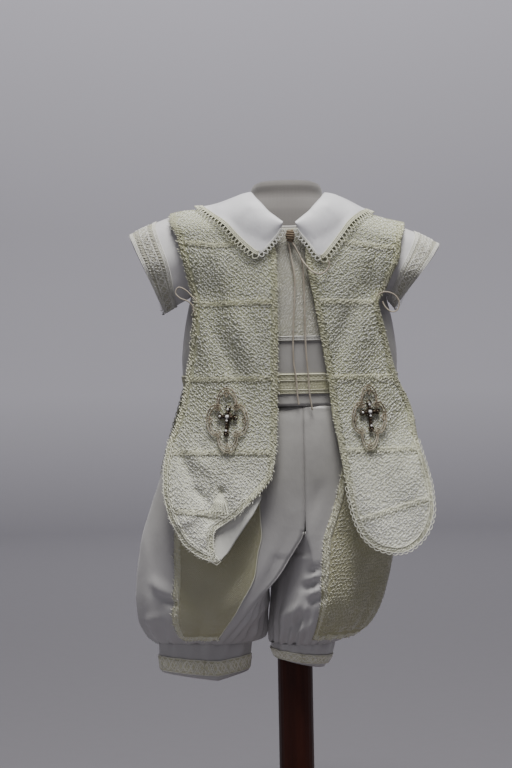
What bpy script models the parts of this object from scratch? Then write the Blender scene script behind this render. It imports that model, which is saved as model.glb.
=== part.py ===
"""A boy's christening romper with a long open vest, standing on a dress form.

The romper is satin: a bodice in two halves, a lace yoke and waistband, flared sleeves with lace
hems, a pointed collar, and two full legs gathered into cuffs.  The vest is stiff lace cloth: two
fronts with rounded tails, and a back.  The form is a smooth limbless torso with a neck, on a
wooden post and a round foot.

Front is -Y, up is +Z and +X is the right hand of somebody who looks at the front.  "left" and
"right" in the names are that person's too.  The origin is the centre of the foot's underside.
Tables are in millimetres and meshes in metres.
"""
from collections import namedtuple
from math import asin, atan, cos, pi, radians, sin, sqrt

import bmesh
import bpy
from mathutils import Vector

MM = 0.001

# ---------------------------------------------------------------- driving sizes (mm)
SEAM = 0.3                 # gap between pieces that meet at a seam
LAY = 0.35                 # gap under a piece that lies on another
RIM_LEAN = 0.3             # half the gap at a seam whose rims lean towards each other
SATIN_WALL = 1.2
VEST_WALL = 1.6
LACE_WALL = 1.0
TRIM_WALL = 1.0

FOOT_RADIUS = 135.0
FOOT_HEIGHT = 22.0
FOOT_EDGE = 5.0
FOOT_SIDES = 40
POST_RADIUS = 20.0
POST_SIDES = 24

FORM_SIDES = 28
SHOULDER_LOW_Z = 700.0     # between these the bodice follows the form's own rows
SHOULDER_TOP_Z = 746.0
SHOULDER_LIFT = 2.1        # bodice outside above the form, where it rests on the shoulders
CHEST_LIFT = 4.6           # the same in front and behind, where the cloth stands off

WAIST_SEAM_Z = 507.2
BAND_TOP_Z = 544.0
BAND_BOTTOM_Z = 521.0
CHEST_TOP_Z = 684.0        # above this the bodice's levels dip towards the neck
ROOM_TOP_Z = 690.0         # above this the vest's levels lean with the shoulder seam
NECK_SIDE_X = 50.0         # where the shoulder seam meets the neck
RIDGE_NECK_Z = 748.2       # vest shoulder seam at the neck
RIDGE_SLOPE = 0.212        # how fast that seam falls outwards
SHOULDER_ROUND = 30.0      # height over which the vest turns over the shoulder
NECK_SCOOP = 15.0          # how far the back of the vest dips below the neck
VEST_RISE = 2.6            # how far the vest lies above the bodice on the shoulders
VEST_STAND = 5.2           # and in front of it and behind it
VEST_STAND_DROP = 5.0      # how far below the shoulder seam it stands off fully
FOLD_DEPTH = 2.6           # soft folds that run down the tails of the vest
FOLD_TOP_Z = 455.0
FOLD_FADE = 60.0
FOLD_SLANT = 0.35
FOLD_PITCH = 11.0
EDGING_WIDTH = 6.0
TRIM_WIDTH = 5.0

CUFF_TOP_Z = 236.9
GATHER_COLUMNS = 4         # grid columns in one gather

CORD_DIAMETER = 2.0
SIDE_CORD_DIAMETER = 1.6
ROUTE_STEPS = 12           # steps between two points of a cord's route

# The shoulders sag under the clothes, the right one more: below 600 mm nothing, above 700 mm all.
SAG_LOW_Z = 600.0
SAG_FULL_Z = 700.0
SAG_STATIONS = ((-125, 0.0), (-76, 6.3), (-28, 0.0), (20, 0.0), (120, 14.5))   # x and sag

# ---------------------------------------------------------------- tables (mm, degrees)
FormRow = namedtuple("FormRow", "z half_width half_depth")
FORM_ROWS = (
    FormRow(764.0, 31, 28), FormRow(762.0, 37, 34), FormRow(757.0, 40.5, 37.5),
    FormRow(749.0, 42, 38.5), FormRow(743.5, 48, 41), FormRow(740.0, 60, 44),
    FormRow(735.0, 78, 48), FormRow(729.5, 94, 52), FormRow(720.0, 103, 56),
    FormRow(706.0, 106, 60), FormRow(682.0, 104, 64), FormRow(640.0, 96, 67),
    FormRow(590.0, 88, 67), FormRow(540.0, 84, 64),
    FormRow(500.0, 88, 67), FormRow(466.0, 89, 68), FormRow(445.0, 83, 63),
    FormRow(432.0, 64, 48), FormRow(428.0, 44, 34),
)

# Outside of the bodice below the shoulders, and how far round it reaches (90 is the side seam).
BodiceRow = namedtuple("BodiceRow", "z half_width half_depth edge")
BODICE_LOW_ROWS = (
    BodiceRow(684.0, 107.5, 67.0, 60), BodiceRow(666.0, 108, 69.0, 64),
    BodiceRow(650.0, 109, 70.5, 72), BodiceRow(634.0, 112, 71.5, 90),
    BodiceRow(612.0, 117, 72.5, 90), BodiceRow(580.0, 122, 73.5, 90),
    BodiceRow(562.0, 123.5, 73.5, 90), BodiceRow(BAND_TOP_Z, 123, 73.0, 90),
    BodiceRow(BAND_BOTTOM_Z, 120, 72.0, 90),
    BodiceRow(WAIST_SEAM_Z + SEAM, 117, 71.5, 90),
)
ARMHOLE_EDGE = {708.0: 61, 722.0: 68, 731.5: 90, 737.0: 90, 742.0: 90, 745.5: 90}
ARM_TOP_Z = 735.0          # below this the bodice stands off the end of the shoulder
ARM_EASE = 2.4
FRONT_NECK_Z = 709.0
BACK_NECK_Z = 738.0

BODICE_COLUMNS = 14
YOKE_HALF_ANGLE = 21.0
YOKE_BOTTOM_Z = 580.0

SleeveRow = namedtuple("SleeveRow", "side tip_x tip_z under_x under_z half_depth crown")
SLEEVE_ROWS = (
    SleeveRow("left", 182.0, 705.0, 141.5, 617.0, 31.0, 4.0),
    SleeveRow("right", 175.0, 703.0, 121.0, 621.0, 31.0, 3.5),
)
SLEEVE_SIDES = 20
ARM_Z = 683.0              # middle of the armhole
ARM_HALF_HEIGHT = 50.5
ARM_HALF_DEPTH = 35.5
SLEEVE_TOP_LIFT = 2.2      # rise of the sleeve's head over the shoulder
SLEEVE_BAND_START = 0.62   # share of the sleeve's length where its lace hem begins
SLEEVE_LAP_LIFT = 2.1      # outside of the sleeve above the bodice, where it laps the armhole

# Section of the vest: an oval far wider than the cloth, so that its sides hang free.
VestSection = namedtuple("VestSection", "z half_width depth")
VEST_SECTIONS = (
    VestSection(748, 165, 56), VestSection(700, 160, 68), VestSection(680, 155, 73),
    VestSection(630, 133, 79), VestSection(580, 134, 80), VestSection(520, 146, 81),
    VestSection(480, 160, 85), VestSection(440, 182, 90), VestSection(400, 200, 95.5),
    VestSection(360, 212, 100), VestSection(320, 215, 103),
)

# Edges of each front, as distances from the middle plane.
VestEdge = namedtuple("VestEdge", "z inner outer")
VEST_LEFT = (
    VestEdge(748.2, 50, 134), VestEdge(728, 48, 133), VestEdge(713, 41, 127),
    VestEdge(698, 25, 124.5), VestEdge(684, 15, 121.5), VestEdge(667, 13.5, 117.5),
    VestEdge(640, 13.4, 110.5), VestEdge(629, 13.4, 107.5), VestEdge(583, 14, 111.5),
    VestEdge(549, 14.8, 116.5), VestEdge(514, 15.6, 123), VestEdge(484, 16.6, 132),
    VestEdge(472, 17.2, 138), VestEdge(456, 18.5, 142), VestEdge(432, 23, 145),
    VestEdge(416, 33.5, 145), VestEdge(403, 47, 143), VestEdge(386, 65, 138.5),
    VestEdge(377, 79, 134), VestEdge(370, 88, 130), VestEdge(359, 89, 124),
    VestEdge(347, 87, 110.5), VestEdge(340, 85, 98), VestEdge(337.5, 84.5, 91),
)
VEST_RIGHT = (
    VestEdge(748.2, 50, 134), VestEdge(728, 48, 131), VestEdge(713, 42, 128),
    VestEdge(698, 29, 127.5), VestEdge(684, 18.5, 125), VestEdge(667, 19.5, 118),
    VestEdge(640, 24, 108), VestEdge(627, 26.5, 100.5), VestEdge(589, 33, 108.5),
    VestEdge(560, 37.5, 115), VestEdge(537, 41, 121.5), VestEdge(511, 43.5, 134),
    VestEdge(497, 45, 138.5), VestEdge(465, 51, 143), VestEdge(435, 56, 151.5),
    VestEdge(412, 60.5, 156), VestEdge(391, 64.5, 157), VestEdge(372, 71, 152.5),
    VestEdge(358, 80, 144), VestEdge(350, 90, 135), VestEdge(345.5, 101, 127),
    VestEdge(343.5, 109, 121),
)
VEST_BACK = (
    VestEdge(748.2, 0, 134), VestEdge(728, 0, 132), VestEdge(706, 0, 127.5),
    VestEdge(684, 0, 123), VestEdge(660, 0, 116), VestEdge(629, 0, 105),
    VestEdge(583, 0, 110.5), VestEdge(549, 0, 118), VestEdge(514, 0, 128),
    VestEdge(465, 0, 143), VestEdge(427, 0, 152), VestEdge(396, 0, 153.5),
    VestEdge(366, 0, 146), VestEdge(350, 0, 134), VestEdge(340, 0, 120),
    VestEdge(333, 0, 101), VestEdge(329.5, 0, 82),
)
SHOULDER_DROPS = (0.0, 1.5, 6.0, 14.0, 27.0)
VEST_COLUMNS = 9
VEST_LEVELS = [708, 668, 645, 600, 569, 514, 484, 432, 412]
BACK_LEVELS = [708, 665, 620, 565, 500, 430]
BACK_SHARES = (0.0, 0.14, 0.27, 0.345, 0.395, 0.59, 0.79)
HEM_RISES = (0.0, 4.5, 13.0, 34.0)

# Sewn rows of trim: the middle height of each, and its rise from its left end to its right one.
TRIMS_LEFT = ((695.0, 0.0), (623.6, 0.0), (538.5, 0.0), (457.0, 0.0), (392.0, -6.0))
TRIMS_RIGHT = ((695.0, 8.0), (623.6, 0.0), (538.5, 0.0), (457.0, 0.0), (386.0, 20.0))
TRIM_LEVEL_SHARE = 0.25        # where along a slanted row it has its middle height

# Free edge of the satin lining that shows behind the turned corner of the left tail.
LiningRow = namedtuple("LiningRow", "z edge")
LINING_ROWS = (
    LiningRow(411, 35), LiningRow(393, 42.5), LiningRow(378, 52.5), LiningRow(362, 63.5),
    LiningRow(347, 73.5), LiningRow(339, 80.5),
)
LINING_TUCK = 9.0          # how far the lining runs on behind the lace
LINING_GAP = 2.9           # how far it hangs behind the lace
LINING_SHARES = (0.0, 0.3, 0.6, 0.8, 1.0)

# One leg, level by level: the place of its front and back crest, its outer and inner side, its
# half depth, the two borders of the lace panel as angles from the crest, and how deep its close
# gathers and its broad soft folds are.
LegRow = namedtuple("LegRow", "z crest outer inner half_depth lace_from lace_to gather flute")
CROTCH_Z = 368
INNER_ROUND = {CROTCH_Z: 0.0, 344: 0.1, 318: 0.35, 292: 0.75}   # 0 flat wedge, 1 round
LEG_LEFT = (
    LegRow(WAIST_SEAM_Z, 12.5, -117, -24.4, 71.5, 18, 52, 0.5, 0.0),
    LegRow(492, 12.5, -126, -24.4, 74.5, 18, 52, 0.7, 0.8),
    LegRow(462, 12.5, -138, -24.4, 77.5, 17, 54, 0.0, 2.0),
    LegRow(428, 12.5, -149, -24.4, 78.5, 17, 55, 0.0, 2.8),
    LegRow(396, 12.5, -160, -24.4, 78, 16.5, 55.5, 0.0, 3.0),
    LegRow(CROTCH_Z, 11.5, -168.5, -24.4, 77, 15, 54, 0.0, 3.2),
    LegRow(344, -1, -173.5, -25.6, 75, 13, 51, 0.0, 3.4),
    LegRow(318, -17, -177.5, -27.4, 72, 10, 47, 0.2, 3.6),
    LegRow(292, -42, -179, -29, 67, 6.5, 43.5, 0.6, 3.4),
    LegRow(270, -61, -177, -31.4, 58, 4.5, 41, 1.2, 2.8),
    LegRow(253, -74, -171, -32.5, 45.5, 4.5, 36.5, 1.9, 1.6),
    LegRow(242, -82.5, -163.5, -36.5, 31.5, 4.5, 32, 2.0, 0.6),
    LegRow(CUFF_TOP_Z + SEAM, -86, -157, -51, 24, 4.5, 30, 1.6, 0.0),
)
LEG_RIGHT = (
    LegRow(WAIST_SEAM_Z, 12.9, 117, -24.0, 71.5, 28, 90, 0.5, 0.0),
    LegRow(492, 12.9, 121, -24.0, 74.5, 27, 90, 0.7, 0.8),
    LegRow(462, 12.9, 125, -24.0, 77.5, 25, 90, 0.0, 2.0),
    LegRow(428, 12.9, 124.5, -24.0, 78.5, 21, 90, 0.0, 2.6),
    LegRow(396, 12.9, 122, -24.0, 78, 17, 90, 0.0, 2.8),
    LegRow(CROTCH_Z, 13.3, 118.5, -24.0, 77, 12, 90, 0.0, 2.8),
    LegRow(344, 19, 113.5, -24.5, 75.8, 7.5, 90, 0.0, 3.0),
    LegRow(318, 22.5, 108, -25.3, 74, 5, 90, 0.2, 2.9),
    LegRow(292, 23, 101, -26.5, 71, 4.5, 90, 0.6, 2.6),
    LegRow(270, 20, 91.5, -27.6, 64, 4.5, 90, 1.2, 2.2),
    LegRow(253, 16.5, 78, -28.2, 54.5, 4.5, 90, 1.9, 1.4),
    LegRow(242, 14, 59, -28, 45.5, 4.5, 90, 2.0, 0.5),
    LegRow(CUFF_TOP_Z + SEAM, 12, 47, -27, 41, 4.5, 90, 1.6, 0.0),
)
CROTCH_ROW = 5             # level from which a leg is a closed tube
LEG_COLUMNS = (2, 6, 12, 12)   # crest to lace, over the lace, on to the back crest, inner side
SIDE_SEAM_COLUMN = {"left": 12, "right": 8}
INSEAM_COLUMN = 26
SEAM_LEAN_GAP = 0.9        # gap outside a seam whose rims lean towards each other inside
FLUTES = 5                 # broad soft folds round a leg
FLUTE_START = 0.6          # where round the leg they start, in radians
LACE_TOP_ROW = 1

# Cuffs: tilt lowers the hem to the right, flare widens it, shift moves it, and a crease in front,
# at a share of the half width, hangs lower and stands out by the two crease sizes.
CuffRow = namedtuple("CuffRow", "side centre_x half_width half_depth bottom_z tilt flare shift "
                                "crease_at crease_drop crease_out")
CUFF_ROWS = (
    CuffRow("left", -103.5, 53.0, 24.0, 205.0, 0.0, -3.0, 0.0, 0.3, 8.5, 6.0),
    CuffRow("right", 9.0, 36.5, 40.5, 214.5, -6.5, -8.5, -3.5, 0.0, 0.0, 0.0),
)
CUFF_SIDES = 22
CUFF_LACE_FROM = 0.45      # shares of the cuff's height
CUFF_LACE_TO = 0.85

# Collar stations from centre front to centre back.  Front ones give height, the others depth.
FrontStation = namedtuple("FrontStation", "neck_x neck_z outer_x outer_z")
COLLAR_FRONT = (
    FrontStation(6.5, 711.5, 8.5, 704), FrontStation(11, 715, 13.5, 695.5),
    FrontStation(16, 719, 22.5, 685), FrontStation(20.5, 722.5, 31, 676.5),
    FrontStation(24, 726, 37.5, 675), FrontStation(28, 731, 47, 683.5),
    FrontStation(32.5, 736.5, 60, 699), FrontStation(36.5, 741.5, 74, 717),
)
TopStation = namedtuple("TopStation", "neck_x neck_y outer_x outer_y")
COLLAR_TOP = (
    TopStation(39.5, -30, 86, -44), TopStation(42, -21, 95, -28), TopStation(45, -9, 99, -10),
    TopStation(45.5, 8, 97, 14), TopStation(38, 25, 82, 42), TopStation(25, 36, 57, 58),
    TopStation(12, 41.5, 28, 66), TopStation(0.2, 42.5, 0.2, 68),
)
COLLAR_CENTRE_X = 1.0
COLLAR_SHARES = (0.0, 0.18, 0.45, 0.75, 0.93, 1.0)
COLLAR_ROLL = 4.5          # how far the fold stands off at the neck
# Outside of each half above the vest and its trims, how much lower its point hangs, and how far
# it reaches out beyond the wide place, as a share of the table's.
CollarRow = namedtuple("CollarRow", "side lay tip_drop reach")
COLLAR_ROWS = (CollarRow("left", 4.5, 0.0, 1.0), CollarRow("right", 3.6, 5.0, 0.85))
COLLAR_TIP_Z = 675.0
COLLAR_DROP_FADE = 12.0    # rise above the point over which the drop fades
COLLAR_WIDE_X = 50.0
COLLAR_LACE_FROM = 4
COLLAR_LOWEST_Z = 634.0    # no part of the collar lies lower on the vest
HALVINGS = 30              # steps of the search for the vest's height
SHOULDER_HALF = Vector((80.0, 60.0))   # round of the shoulders, for the way the collar stands off

MedallionRow = namedtuple("MedallionRow", "side x z half_width half_height cross_x cross_z turn")
MEDALLIONS = (
    MedallionRow("left", -71.0, 493.0, 23.5, 37.0, -70.5, 496.5, 5.0),
    MedallionRow("right", 85.5, 493.0, 19.5, 37.0, 86.0, 499.0, -4.0),
)
MEDALLION_BAND = 0.66      # inner edge of the braid as a share of the outer
MEDALLION_SIDES = 24
LOBE_DEPTH = 0.20          # how far the hollows between the lobes go in, as a share
MEDALLION_LIFT = 3.3
CROSS_HALF_WIDTH = 11.5
CROSS_TOP = 13.5
CROSS_BOTTOM = 22.0
CROSS_BAR = 2.2
CROSS_BUD = 3.4
BUD_STEPS = 6
CROSS_THICKNESS = 2.4
CROSS_LIFT = 2.6

# Knot at the meeting of the collar's points, and the hand-laid routes of the cords.
KNOT_CENTRE = (2.0, -72.8, 697.0)
KNOT_HALF_SIZE = (5.5, 5.0, 7.5)
KNOT_SIDES = 10
KNOT_RINGS = 6
TIE_LEFT = (
    (0, -74.5, 689.2), (1.5, -73, 680), (3.5, -73, 668), (6, -74.3, 650), (5.5, -75.5, 627),
    (4, -76.4, 602), (3, -77, 576), (3.3, -77.1, 555), (5.5, -77.1, 539), (6.5, -77, 523),
    (8, -76.6, 509),
)
TIE_RIGHT = (
    (4.1, -74.0, 689.6), (8.5, -73.4, 682), (14.5, -73, 668), (16, -74.2, 648), (16.5, -75.6, 618),
    (16.5, -76.4, 597), (17, -77, 574), (18, -77.1, 556), (19.3, -77.1, 539), (20.3, -77, 521),
    (23, -76.4, 503),
)
TIE_LOOP = (
    (14.4, -75.1, 670.6), (18.5, -78.2, 664), (25, -80.2, 657), (33, -80.6, 654), (40, -79.6, 657),
    (44.5, -78.4, 664), (44, -78.2, 670),
)
SIDE_TIE_LEFT = (
    (-104, -52.9, 628), (-109, -52.9, 633), (-116, -52.5, 640), (-124, -52, 643),
    (-127.5, -51.5, 637), (-122.5, -52, 631), (-114, -52.3, 627.5), (-108.5, -51.8, 622),
    (-107.5, -51.6, 614),
)
SIDE_TIE_RIGHT = (
    (98.5, -56.8, 632), (103, -56.6, 636.5), (110, -56, 638), (118, -55.5, 634), (123, -55, 625),
    (121, -55, 614), (114, -55.5, 612), (107.5, -55.3, 618), (104.5, -54.8, 625),
)

SATIN = ((0.80, 0.79, 0.77), 0.38)
LACE = ((0.83, 0.82, 0.76), 0.75)
VEST_LACE = ((0.80, 0.80, 0.71), 0.7)
TRIM_LACE = ((0.84, 0.82, 0.68), 0.75)
BRAID = ((0.72, 0.66, 0.54), 0.7)
DARK_METAL = ((0.16, 0.12, 0.10), 0.35)
FORM_CLOTH = ((0.78, 0.76, 0.73), 0.8)
WOOD = ((0.055, 0.016, 0.010), 0.4)


# ---------------------------------------------------------------- reading the tables
def read(rows, z, column):
    """Value of a table's column at height z, on a smooth curve through its rows."""
    ordered = sorted(rows, key=lambda row: row.z)
    if z <= ordered[0].z:
        return getattr(ordered[0], column)
    if z >= ordered[-1].z:
        return getattr(ordered[-1], column)
    high = next(i for i, row in enumerate(ordered) if row.z >= z)
    heights = [row.z for row in ordered]
    values = [getattr(row, column) for row in ordered]
    slopes = [slope_at(heights, values, i) for i in (high - 1, high)]
    step = heights[high] - heights[high - 1]
    t = (z - heights[high - 1]) / step
    start, end = values[high - 1], values[high]
    bend = t * t * (3 - 2 * t)
    pull = slopes[0] * t * (1 - t) ** 2 - slopes[1] * t * t * (1 - t)
    return start + (end - start) * bend + pull * step


def slope_at(heights, values, i):
    """Slope of the curve at a row: zero at peaks and dips, so it never overshoots."""
    if i in (0, len(values) - 1):
        return 0.0
    before = (values[i] - values[i - 1]) / (heights[i] - heights[i - 1])
    after = (values[i + 1] - values[i]) / (heights[i + 1] - heights[i])
    if before * after <= 0:
        return 0.0
    return 2 * before * after / (before + after)


def clamp(value, low=0.0, high=1.0):
    """Value held between two bounds."""
    return max(low, min(high, value))


def settled(spot):
    """Place of a point once the shoulders have sagged."""
    share = clamp((spot.z - SAG_LOW_Z) / (SAG_FULL_Z - SAG_LOW_Z))
    x = clamp(spot.x, SAG_STATIONS[0][0], SAG_STATIONS[-1][0])
    before, beyond = next(pair for pair in zip(SAG_STATIONS, SAG_STATIONS[1:]) if x <= pair[1][0])
    t = (x - before[0]) / (beyond[0] - before[0])
    sag = before[1] + (beyond[1] - before[1]) * t * t * (3 - 2 * t)
    return Vector((spot.x, spot.y, spot.z - sag * share * share * (3 - 2 * share)))


# ---------------------------------------------------------------- scene helpers
def clear_scene():
    """Remove whatever the file holds."""
    for thing in list(bpy.data.objects):
        bpy.data.objects.remove(thing, do_unlink=True)


def new_collection(name):
    """Add a collection to the scene."""
    group = bpy.data.collections.new(name)
    bpy.context.scene.collection.children.link(group)
    return group


def finish(thing, look, metallic=0.0):
    """Give an object a material of its own."""
    colour, roughness = look
    material = bpy.data.materials.new(thing.name + "_finish")
    material.use_nodes = True
    shader = material.node_tree.nodes["Principled BSDF"]
    shader.inputs["Base Color"].default_value = (*colour, 1.0)
    shader.inputs["Roughness"].default_value = roughness
    shader.inputs["Metallic"].default_value = metallic
    thing.data.materials.clear()
    thing.data.materials.append(material)


def add_object(name, data, look, metallic=0.0):
    """Link a mesh or curve as a named piece with its finish."""
    thing = bpy.data.objects.new(name, data)
    GROUP.objects.link(thing)
    finish(thing, look, metallic)
    return thing


# ---------------------------------------------------------------- cloth grids and walls
Grid = namedtuple("Grid", "points normals turn")


def make_grid(point_rows, turn, closed=False):
    """Rows of points with a normal each; turn is +1 if columns run counterclockwise from above."""
    count = len(point_rows[0])
    normals = []
    for i, row in enumerate(point_rows):
        above = point_rows[max(i - 1, 0)]
        below = point_rows[min(i + 1, len(point_rows) - 1)]
        line = []
        for j in range(count):
            nearby = (j - 1) % count if closed else max(j - 1, 0)
            beyond = (j + 1) % count if closed else min(j + 1, count - 1)
            down = below[j] - above[j]
            along = row[beyond] - row[nearby]
            line.append((down.cross(along) * turn).normalized())
        normals.append(line)
    return Grid(point_rows, normals, turn)


def wall(name, grid, cells, look, thickness, lift=0.0, outward=False):
    """Closed wall over some cells of a grid; lift moves its base out along the grid's normals."""
    mesh = bpy.data.meshes.new(name)
    form = bmesh.new()
    made = {}

    def corner(i, j):
        if (i, j) not in made:
            spot = settled(grid.points[i][j] + grid.normals[i][j] * lift)
            made[i, j] = form.verts.new(spot * MM)
        return made[i, j]

    count = len(grid.points[0])
    for i, j in cells:
        right = (j + 1) % count
        ring = [corner(i, j), corner(i + 1, j), corner(i + 1, right), corner(i, right)]
        face = form.faces.new(ring if grid.turn > 0 else ring[::-1])
        face.smooth = True
    form.to_mesh(mesh)
    form.free()
    thing = add_object(name, mesh, look)
    shell = thing.modifiers.new("wall", "SOLIDIFY")
    shell.thickness = thickness * MM
    shell.offset = 1.0 if outward else -1.0
    return thing


def all_cells(grid, closed=False):
    """Every cell of a grid."""
    count = len(grid.points[0])
    return [(i, j) for i in range(len(grid.points) - 1) for j in range(count if closed else count - 1)]


# ---------------------------------------------------------------- dress form
def build_form():
    """Torso with neck, post and round foot."""
    form = bmesh.new()
    rings = []
    for row in FORM_ROWS:
        ring = []
        for k in range(FORM_SIDES):
            angle = 2 * pi * k / FORM_SIDES
            spot = Vector((row.half_width * sin(angle), -row.half_depth * cos(angle), row.z))
            ring.append(form.verts.new(settled(spot) * MM))
        rings.append(ring)
    for upper, lower in zip(rings, rings[1:]):
        for k in range(FORM_SIDES):
            beyond = (k + 1) % FORM_SIDES
            form.faces.new((upper[k], lower[k], lower[beyond], upper[beyond]))
    form.faces.new(rings[0])
    form.faces.new(reversed(rings[-1]))
    bmesh.ops.recalc_face_normals(form, faces=form.faces)
    mesh = bpy.data.meshes.new("form_torso")
    form.to_mesh(mesh)
    form.free()
    mesh.shade_smooth()
    add_object("form_torso", mesh, FORM_CLOTH)

    post_top = FORM_ROWS[-1].z - SEAM
    post_bottom = FOOT_HEIGHT + SEAM
    turned("form_post", POST_RADIUS, post_bottom, post_top, POST_SIDES, 0.0)
    turned("form_foot", FOOT_RADIUS, 0.0, FOOT_HEIGHT, FOOT_SIDES, FOOT_EDGE)


def turned(name, radius, bottom, top, sides, edge):
    """Upright round piece of wood, its edges rounded where edge is above zero."""
    form = bmesh.new()
    bmesh.ops.create_cone(form, cap_ends=True, segments=sides, radius1=radius * MM,
                          radius2=radius * MM, depth=(top - bottom) * MM)
    bmesh.ops.translate(form, verts=form.verts, vec=Vector((0, 0, (top + bottom) / 2 * MM)))
    mesh = bpy.data.meshes.new(name)
    form.to_mesh(mesh)
    form.free()
    mesh.shade_smooth()
    mesh.set_sharp_from_angle(angle=radians(40))
    thing = add_object(name, mesh, WOOD)
    if edge > 0:
        bevel = thing.modifiers.new("edge", "BEVEL")
        bevel.width = edge * MM
        bevel.segments = 1
        bevel.angle_limit = radians(60)
    return thing


# ---------------------------------------------------------------- bodice
def bodice_rows():
    """Whole bodice table: shoulder rows that follow the form, then the loose rows below."""
    rows = list(BODICE_LOW_ROWS)
    for form_row in FORM_ROWS:
        height = form_row.z + SHOULDER_LIFT
        if SHOULDER_LOW_Z < height < SHOULDER_TOP_Z:
            edge = ARMHOLE_EDGE[min(ARMHOLE_EDGE, key=lambda z: abs(z - height))]
            lift = SHOULDER_LIFT if height > ARM_TOP_Z else SHOULDER_LIFT + ARM_EASE
            rows.append(BodiceRow(height, form_row.half_width + lift,
                                  form_row.half_depth + CHEST_LIFT, edge))
    return tuple(sorted(rows, key=lambda row: -row.z))


BODICE_ROWS = bodice_rows()
BODICE_TOP = BODICE_ROWS[0]


def bodice_depth(x, z):
    """How far the outside of the bodice stands from the middle plane, front or back."""
    if z > BODICE_TOP.z:
        return 0.0
    across = abs(x) / read(BODICE_ROWS, z, "half_width")
    if across >= 1:
        return 0.0
    return read(BODICE_ROWS, z, "half_depth") * sqrt(1 - across * across)


def bodice_grid(facing, columns):
    """One half of the bodice; facing is -1 for the front and +1 for the back."""
    neck_z = FRONT_NECK_Z if facing < 0 else BACK_NECK_Z
    heights = [row.z for row in BODICE_ROWS]
    neck_span = BODICE_TOP.z - CHEST_TOP_Z
    rows = []
    for height in heights:
        reach = radians(read(BODICE_ROWS, height, "edge"))
        line = []
        for j in range(columns + 1):
            angle = reach * (2 * j / columns - 1)
            z = height
            if height > CHEST_TOP_Z:
                dip = (BODICE_TOP.z - neck_z) * cos(angle) ** 2
                z = CHEST_TOP_Z + (height - CHEST_TOP_Z) * (1 - dip / neck_span)
            across = read(BODICE_ROWS, z, "half_width") * sin(angle)
            depth = read(BODICE_ROWS, z, "half_depth") * cos(angle)
            line.append(Vector((across, facing * (depth + RIM_LEAN), z)))
        rows.append(line)
    return make_grid(rows, -facing)


def build_bodice():
    """Front and back of the bodice, the lace yoke on the front and the lace waistband."""
    front = bodice_grid(-1, BODICE_COLUMNS)
    back = bodice_grid(1, BODICE_COLUMNS)
    wall("bodice_front", front, all_cells(front), SATIN, SATIN_WALL)
    wall("bodice_back", back, all_cells(back), SATIN, SATIN_WALL)

    heights = [row.z for row in BODICE_ROWS]
    middle = BODICE_COLUMNS / 2
    half = round(YOKE_HALF_ANGLE / 90 * middle)
    yoke = [(i, j) for i, j in all_cells(front)
            if heights[i + 1] >= YOKE_BOTTOM_Z and middle - half <= j < middle + half]
    wall("yoke_lace", front, yoke, LACE, LACE_WALL, LAY, True)

    for side, grid in (("front", front), ("back", back)):
        band = [(i, j) for i, j in all_cells(grid)
                if BAND_BOTTOM_Z <= heights[i + 1] and heights[i] <= BAND_TOP_Z]
        wall("waistband_" + side, grid, band, TRIM_LACE, LACE_WALL, LAY, True)


# ---------------------------------------------------------------- sleeves
def build_sleeve(row):
    """Flared sleeve from the armhole to its slanted hem, with the lace band on the hem."""
    side = -1 if row.side == "left" else 1
    shares = (0.0, SLEEVE_BAND_START / 2, SLEEVE_BAND_START, 1.0)
    hem_centre = Vector(((row.tip_x + row.under_x) / 2, 0, (row.tip_z + row.under_z) / 2))
    hem_up = Vector(((row.tip_x - row.under_x) / 2, 0, (row.tip_z - row.under_z) / 2))
    rows = []
    for share in shares:
        line = []
        for k in range(SLEEVE_SIDES):
            angle = 2 * pi * k / SLEEVE_SIDES
            root_z = ARM_Z + ARM_HALF_HEIGHT * cos(angle)
            root_y = -ARM_HALF_DEPTH * sin(angle)
            root = Vector((bodice_width(root_y, root_z) + SLEEVE_LAP_LIFT, root_y, root_z))
            root.z += SLEEVE_TOP_LIFT * max(cos(angle), 0) ** 4
            hem = hem_centre + hem_up * cos(angle) + Vector((0, -row.half_depth * sin(angle), 0))
            spot = root.lerp(hem, share)
            swell = 4 * share * (1 - share) * row.crown
            spot += Vector((0, -sin(angle), max(cos(angle), 0))) * swell
            line.append(Vector((side * spot.x, spot.y, spot.z)))
        rows.append(line)
    grid = make_grid(rows, -side, closed=True)
    wall("sleeve_" + row.side, grid, all_cells(grid, True), SATIN, SATIN_WALL)
    first = shares.index(SLEEVE_BAND_START)
    band = [(i, j) for i, j in all_cells(grid, True) if i >= first]
    wall("sleeve_lace_" + row.side, grid, band, LACE, LACE_WALL, LAY, True)


def bodice_width(y, z):
    """Distance of the bodice's outside from the middle at a depth and height."""
    deep = clamp(abs(y) / read(BODICE_ROWS, z, "half_depth"))
    return read(BODICE_ROWS, z, "half_width") * sqrt(1 - deep * deep)


# ---------------------------------------------------------------- vest
def ridge_z(x):
    """Height of the vest's shoulder seam at a distance from the middle."""
    return RIDGE_NECK_Z - RIDGE_SLOPE * max(abs(x) - NECK_SIDE_X, 0.0)


def vest_depth(x, z):
    """How far the outside of the vest stands from the middle plane, front or back."""
    drop = ridge_z(x) - z
    if drop <= 0:
        return 0.0
    over = 1 - clamp(drop / SHOULDER_ROUND)
    across = clamp(abs(x) / read(VEST_SECTIONS, z, "half_width"))
    own = read(VEST_SECTIONS, z, "depth") * sqrt(1 - across * across) * sqrt(1 - over * over)
    own += FOLD_DEPTH * clamp((FOLD_TOP_Z - z) / FOLD_FADE) * sin((x + FOLD_SLANT * z) / FOLD_PITCH)
    clear = VEST_STAND * clamp(drop / VEST_STAND_DROP)
    return max(own, bodice_depth(x, z - VEST_RISE) + clear)


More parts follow.
